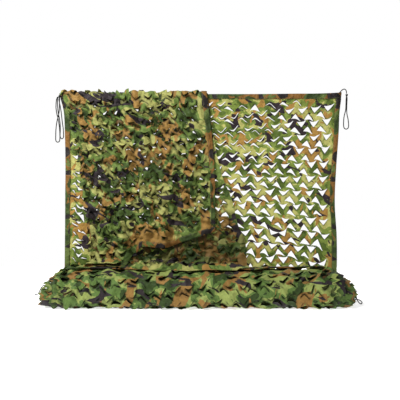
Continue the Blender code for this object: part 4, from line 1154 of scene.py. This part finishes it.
def drape_column(from_edge, drop):
    """Where a lengthwise line of the drape hangs at a drop, and its layer: 1 in front, 0 at the back."""
    left_fold, front_edge, back_edge = table_at(DRAPE_EDGES, drop)
    spread = LAYER_GAP + rise_of(DRAPE_FOLDS, left_fold, drop)
    turned = left_fold + spread / 2
    flat_width = FOLDED_LENGTH - FOLD_TURN
    in_front = mix(front_edge, turned, from_edge / flat_width)
    behind = mix(turned, back_edge, (from_edge - FOLDED_LENGTH - FOLD_TURN) / flat_width)
    angle = math.pi / 2 * (1 + (from_edge - FOLDED_LENGTH) / FOLD_TURN)
    fold = turned - spread / 2 * np.sin(angle)
    is_front = from_edge < flat_width
    is_back = from_edge > FOLDED_LENGTH + FOLD_TURN
    across = np.where(is_front, in_front, np.where(is_back, behind, fold))
    layer = np.where(is_front, 1.0, np.where(is_back, 0.0, (1 + np.cos(angle)) / 2))
    return across, layer


def drape_forward(across, drop, layer):
    """How far in front of the top edge's plane the drape hangs."""
    uneven = 0.004 * ease(drop / 0.1) * np.maximum(1 + waves(across, drop, 0.07, seed=61), 0.0)
    back = DRAPE_BACK_OFF + rise_of(NET_FOLDS, across, drop) + rise_of(BAND_FOLDS, across, drop) + uneven
    return back + layer * (LAYER_GAP + rise_of(DRAPE_FOLDS, across, drop))


def laid_height(across, forward, layer):
    """The height of the drape where it lies on the roll."""
    settled = 1 - ease(np.maximum(table_at(DRAPE_TAIL, across)[0] - forward, 0.0) / 0.045)
    end_line = -table_at(ROLL_END_LINE, across)[0]
    ended = (across >= ROLL_END_LINE[0][0]) & (across <= ROLL_END_LINE[-1][0])
    under = np.zeros_like(across)
    for side in (-1.0, -0.5, 0.0, 0.5, 1.0):
        place = forward + side * LAID_CLEAR * (1 - settled)
        height = np.max([
            roll_top(across + beside, place) for beside in (-BESIDE_CLEAR, 0.0, BESIDE_CLEAR)
        ], axis=0)
        near = ended & (place > end_line - BINDING_WIDTH - EDGE_CLEAR) & (place < end_line + EDGE_CLEAR)
        height = height + near * (LAID_BIND + END_STEP * (place > end_line))
        under = np.maximum(under, height)
    pushed = 0.35 * rise_of(BAND_FOLDS, across, HANG_HEIGHT)
    doubled = layer * (LAYER_GAP + 0.3 * rise_of(DRAPE_FOLDS, across, HANG_HEIGHT))
    return under + mix(LAID_OFF + pushed, SETTLED_OFF, settled) + doubled + FLOOR


def drape_turn(from_edge):
    """Where a lengthwise line of the drape turns forward: drop, place forward and height turned to."""
    fall = np.full_like(from_edge, FALL_DROP)
    across, layer = drape_column(from_edge, fall)
    forward = drape_forward(across, fall, layer)
    drop = -laid_height(across, forward + FALL_RADIUS, layer) - FALL_RADIUS
    across, layer = drape_column(from_edge, np.minimum(drop, FALL_DROP))
    forward = drape_forward(across, drop, layer)
    across = drape_column(from_edge, fall)[0]
    return drop, forward, laid_height(across, forward + FALL_RADIUS, layer)


def drape_place(from_edge, along):
    """The middle of the drape's cloth, at distances from its bound edge and along from the top edge."""
    turn_drop, turn_forward, turn_height = drape_turn(from_edge)
    drop = np.maximum(along, 0.0)
    across, layer = drape_column(from_edge, np.minimum(drop, FALL_DROP))
    top = top_line((NET_EDGES[0][2] - across) / (NET_EDGES[0][2] - NET_EDGES[0][1])) + OVER_CENTRE
    hung_forward = drape_forward(across, drop, layer)
    hung = np.stack([across, -hung_forward, top * (1 - ease(drop / 0.1)) - drop], axis=-1)
    over = math.pi * np.clip(-along / OVER_TOP, 0.0, 1.0)
    behind = np.maximum(-along - OVER_TOP, 0.0)
    plain = mix(DRAPE_BACK_OFF, DRAPE_BACK_OFF + LAYER_GAP, layer)
    net_rise = rise_of(NET_FOLDS, across, 0.0)
    out = drape_forward(across, 0.0, layer) - net_rise
    high = plain + 0.35 * (out - plain)
    forward = np.where(over < math.pi / 2, out, plain) * np.cos(over) + net_rise
    above = np.stack([across, -forward, top + high * np.sin(over) - behind], axis=-1)
    turn = np.clip((drop - turn_drop) / FALL_RADIUS, 0.0, math.pi / 2)
    turning_forward = turn_forward + FALL_RADIUS * (1 - np.cos(turn))
    turning = np.stack([across, -turning_forward, mix(-turn_drop, turn_height, np.sin(turn))], axis=-1)
    far = turn_forward + drop - turn_drop - FALL_RADIUS * (math.pi / 2 - 1)
    laid = np.stack([across, -far, laid_height(across, far, layer)], axis=-1)
    return np.where(
        (along <= 0.0)[..., None], above,
        np.where(
            (drop <= turn_drop)[..., None], hung,
            np.where((drop < turn_drop + FALL_RADIUS * math.pi / 2)[..., None], turning, laid),
        ),
    )


def drape_end(from_edge):
    """How far along the drape its lower edge lies: at the hem, or out on the roll."""
    fall = np.full_like(from_edge, FALL_DROP)
    across, layer = drape_column(from_edge, fall)
    hem = table_at(DRAPE_HEM, across)[0]
    turn_drop, turn_forward, _turn_height = drape_turn(from_edge)
    laid = turn_drop + FALL_RADIUS * math.pi / 2
    foot = laid + table_at(DRAPE_TAIL, across)[0] - turn_forward - FALL_RADIUS
    gathered = np.where(layer > 0.99, ease((GATHER_ACROSS - across) / 0.09), 1.0)
    return mix(hem, foot, gathered)


def drape_relief(from_edge, along):
    """Crumpled cloth: small folds everywhere, flat along its bound edges."""
    end = np.interp(from_edge, EDGE_STEPS, END_STEPS)
    near = ease(np.minimum(np.minimum(from_edge, end - along), DRAPE_WIDTH - from_edge) / 0.05)
    near = near * (0.35 + 0.65 * ease(along / 0.08))
    in_front = ease((FOLDED_LENGTH - from_edge) / 0.02)
    return near * mix(-1.0, 1.0, in_front) * (
        0.0060 * creases(from_edge, along, 0.045, seed=31) + 0.0070 * waves(from_edge, along, 0.09, seed=32)
    )


def drape_painted_shade(from_edge, along):
    """Painted shade on the back layer: darkened where the front one covers it, as a painted shadow just below
    the front one's hem, and down its foot.
    """
    across, layer = drape_column(from_edge, np.clip(along, 0.0, FALL_DROP))
    front_edge = table_at(DRAPE_EDGES, np.clip(along, 0.0, FALL_DROP))[1]
    below = along - table_at(DRAPE_HEM, across)[0]
    shadow = 1 - ease((below - 0.02) / 0.11) * (across > GATHER_ACROSS)
    under_hem = 0.9 * (below > -0.05) * (1 - ease((below - 0.01) / 0.05)) * (across > GATHER_ACROSS)
    covered = np.maximum(0.65, under_hem) * ease((front_edge - across + 0.012) / 0.03) * shadow
    # Painted shade down the back layer's foot
    foot = 0.5 * span(along, 0.60, 0.15, 0.98, 0.1)
    return (layer < 0.5) * np.maximum(covered, foot)


# The outline of the flat drape, with a place every 12 to 14 mm
EDGE_STEPS = np.linspace(0.0, DRAPE_WIDTH, 126)
END_STEPS = drape_end(EDGE_STEPS)
DRAPE_START = -OVER_TOP - BEHIND_TOP
near_rim, far_rim = (
    np.arange(DRAPE_START + 0.014, end - 0.005, 0.014) for end in (END_STEPS[0], END_STEPS[-1])
)
outline = (
    [(at, DRAPE_START) for at in EDGE_STEPS]
    + [(DRAPE_WIDTH, at) for at in far_rim]
    + [(at, end) for at, end in zip(EDGE_STEPS[::-1], END_STEPS[::-1])]
    + [(0.0, at) for at in near_rim[::-1]]
)

# The cuts of the drape: crumpled and wide in both layers, with shorter curls where its foot lies on the roll
DRAPE_SEED = 13
DRAPE_RIM = BINDING_WIDTH + 0.004
random = np.random.default_rng(DRAPE_SEED)
cuts = []
for from_edge, along, upward in cut_grid(-4, 24, 50, DRAPE_PITCH):
    behind = from_edge > FOLDED_LENGTH
    shut = float(behind * ease((along - 0.74) / 0.08))
    arms, root = cut_places(
        from_edge, along, upward, DRAPE_PITCH * random.normal(1.04, 0.06), random.normal(0, 0.3),
        mix(random.uniform(0.9, 1.3) if behind else random.uniform(0.5, 1.2), 0.9, shut),
    )
    end = float(np.interp(np.vstack((arms, root))[:, 0], EDGE_STEPS, END_STEPS).min())
    if not inside_of((arms, root), DRAPE_RIM, DRAPE_WIDTH - 0.008, DRAPE_START + 0.01, end - 0.032):
        continue
    side = 1 if random.random() < 0.70 else -1
    if behind:
        side = -side
    free_curl = random.uniform(140, 230) if behind else random.uniform(55, 170)
    curl = side * math.radians(mix(free_curl, random.uniform(60, 170), shut))
    curl *= 0.3 + 0.7 * float(ease((abs(along) - 0.02) / 0.04))
    cuts.append((arms, root, curl, random.normal(0, 0.45), 0.003))
fill = jittered(0.0, DRAPE_WIDTH, DRAPE_START, float(END_STEPS.max()), 0.009, seed=10)
fill = fill[fill[:, 1] < np.interp(fill[:, 0], EDGE_STEPS, END_STEPS) - 0.006]
drape = leaf_cloth(
    "drape", drape_place, outline, cuts, fill, drape_relief, layered_cloth_painted_shade,
    sink=0.007, rise=0.006, edge_shade_reach=0.007, painted_shade_at=drape_painted_shade, shift=(3.4, 6.3),
)
stand_for(drape, "front_drape")


# The bindings: camouflage tape, folded over each edge of the cloth and sewn through, 27 mm wide when folded.
# It is darker and stiffer than the net's cloth, and the sewing draws it into small puckers.

# Woven tape: a darker, browner print than the cloth's, and a paler line of stitches that frames the net
tape_cloth = camouflage(
    "woodland print tape", seed=6, glow=0.05, size=1.2, cover=(0.53, 0.58),
    colours=("#2d3b19", "#3f4f22", "#566430", "#755224", "#221d1c"), stitched=True,
)


def add_tape(name, node, place, flat_at, stations, room=TOUCH):
    """Folded tape along an edge; flat_at gives the flat place at a station and a distance from the edge."""
    inside = CLOTH / 2 + room
    outside = inside + BINDING_PLY
    shape = [(BINDING_WIDTH, outside), (BINDING_WIDTH * 0.8, outside), (BINDING_WIDTH * 0.45, outside)]
    shape += [(0.002, outside), (-TOUCH - BINDING_PLY * 0.6, outside * 0.7), (-TOUCH - BINDING_PLY, 0.0)]
    shape += [(inward, -out) for inward, out in shape[:-1][::-1]]
    outer_count = len(shape)
    shape += [(BINDING_WIDTH, -inside), (0.001, -inside), (-TOUCH, 0.0), (0.001, inside)]
    shape += [(BINDING_WIDTH, inside)]
    stations = np.asarray(stations, dtype=float)
    points, flat = [], []
    for number, (inward, out) in enumerate(shape):
        from_edge = np.full_like(stations, inward)
        pucker = 0.0006 * waves(stations, from_edge, 0.016, seed=41) if number < outer_count and out else 0.0
        edge = 0.0009 * waves(stations, np.zeros_like(stations), 0.05, seed=42) if inward > 0.02 else 0.0
        points.append(out_of(place, *flat_at(stations, from_edge + edge), out + np.sign(out) * pucker))
        flat.append(np.stack([from_edge if out >= 0 else -from_edge, stations], axis=-1))
    count = len(shape)
    points = np.stack(points, axis=1).reshape(-1, 3)
    flat = np.stack(flat, axis=1).reshape(-1, 2)
    faces = []
    for corner in range(0, (len(stations) - 1) * count, count):
        for side in range(count):
            low, high = corner + side, corner + (side + 1) % count
            faces.append((low, high, high + count, low + count))
    faces.append(tuple(reversed(range(count))))
    faces.append(tuple((len(stations) - 1) * count + side for side in range(count)))
    tape = cloth_object(name, points, faces, flat, tape_cloth)
    stand_for(tape, node)
    return tape


top_steps = np.arange(0.0, NET_WIDTH + 0.001, 0.0125)
side_steps = np.linspace(BINDING_WIDTH + 0.0012, STRAIGHT_FALL, 84)
net_tapes = [
    add_tape("top_tape", "top_binding", net_place, lambda at, inward: (at, inward), top_steps),
    add_tape("right_tape", "right_binding", net_place, lambda at, inward: (inward, at), side_steps),
    add_tape("left_tape", "left_binding", net_place, lambda at, inward: (NET_WIDTH - inward, at), side_steps),
    add_tape(
        "end_tape", "end_binding", roll_place, lambda at, inward: (at, ROLLED - inward),
        np.linspace(0.02, 1.48, 118),
    ),
]
# The drape's hem stops where its foot is gathered, and both of its tapes lie a little looser
DRAPE_ROOM = 0.0011
side_end = float(END_STEPS[0]) - BINDING_WIDTH - 0.003
hem_steps = EDGE_STEPS[EDGE_STEPS < FOLDED_LENGTH]
hem_across, _hem_layer = drape_column(hem_steps, np.full_like(hem_steps, FALL_DROP))
hem_stop = float(hem_steps[hem_across > GATHER_ACROSS + 0.008].max())
drape_tapes = [
    add_tape(
        "drape_side_tape", "drape_side_binding", drape_place, lambda at, inward: (inward, at),
        np.linspace(DRAPE_START + 0.002, side_end, 78), DRAPE_ROOM,
    ),
    add_tape(
        "drape_hem_tape", "drape_hem_binding", drape_place,
        lambda at, inward: (at, np.interp(at, EDGE_STEPS, END_STEPS) - inward),
        np.linspace(0.0, hem_stop, 42), DRAPE_ROOM,
    ),
]


# The floor and the light: a plain pale floor, three wide soft lamps, and white all round. The photo has a
# plain white ground, so the floor is bright enough to vanish but for the roll's own shadow.

plain, tree = new_material("pale studio floor")
grain = add_node(tree, "ShaderNodeTexNoise", [("Scale", 3.0), ("Detail", 2.0)])
pale = add_node(tree, "ShaderNodeValToRGB", [("Fac", grain.outputs["Fac"])])
pale.color_ramp.elements[0].color = linear("#f4f4f2")
pale.color_ramp.elements[1].color = linear("#fbfbfa")
surface = add_node(tree, "ShaderNodeBsdfPrincipled", [
    ("Base Color", pale.outputs["Color"]), ("Roughness", 0.9),
    ("Emission Color", (1.0, 1.0, 1.0, 1.0)), ("Emission Strength", 0.65),
])
add_node(tree, "ShaderNodeOutputMaterial", [("Surface", surface.outputs[0])])
floor_mesh = bpy.data.meshes.new("floor")
floor_corners = [(x, y, FLOOR) for x, y in ((-2.2, -2.2), (2.2, -2.2), (2.2, 1.3), (-2.2, 1.3))]
floor_mesh.from_pydata(floor_corners, [], [(0, 1, 2, 3)])
floor_mesh.materials.append(plain)
add_object("floor", floor_mesh)

bpy.context.scene.view_settings.view_transform = "Standard"
world = bpy.data.worlds.new("studio")
world.use_nodes = True
tree = world.node_tree
tree.nodes.clear()
ray = add_node(tree, "ShaderNodeLightPath")
seen = add_node(tree, "ShaderNodeMapRange", [("Value", ray.outputs["Is Camera Ray"]), ("To Min", 0.17)])
air = add_node(tree, "ShaderNodeBackground", [
    ("Color", (1.0, 1.0, 1.0, 1.0)), ("Strength", seen.outputs["Result"]),
])
add_node(tree, "ShaderNodeOutputWorld", [("Surface", air.outputs[0])])
bpy.context.scene.world = world


for name, place, aim, size, power in (
    ("key", (-1.7, -2.0, 1.9), (0.0, -0.1, -0.6), (0.6, 0.6), 182),
    ("fill", (1.9, -2.4, 0.3), (0.0, 0.0, -0.6), (1.6, 1.6), 11),
    ("behind", (0.0, 1.6, -0.2), (0.0, 0.0, -0.55), (2.6, 1.8), 35),
):
    lamp = bpy.data.lights.new(name, "AREA")
    lamp.shape = "RECTANGLE"
    lamp.size, lamp.size_y = size
    lamp.energy = power
    light = add_object(name, lamp)
    light.location = place
    light.visible_camera = False
    light.rotation_euler = (Vector(aim) - Vector(place)).to_track_quat("-Z", "Y").to_euler()
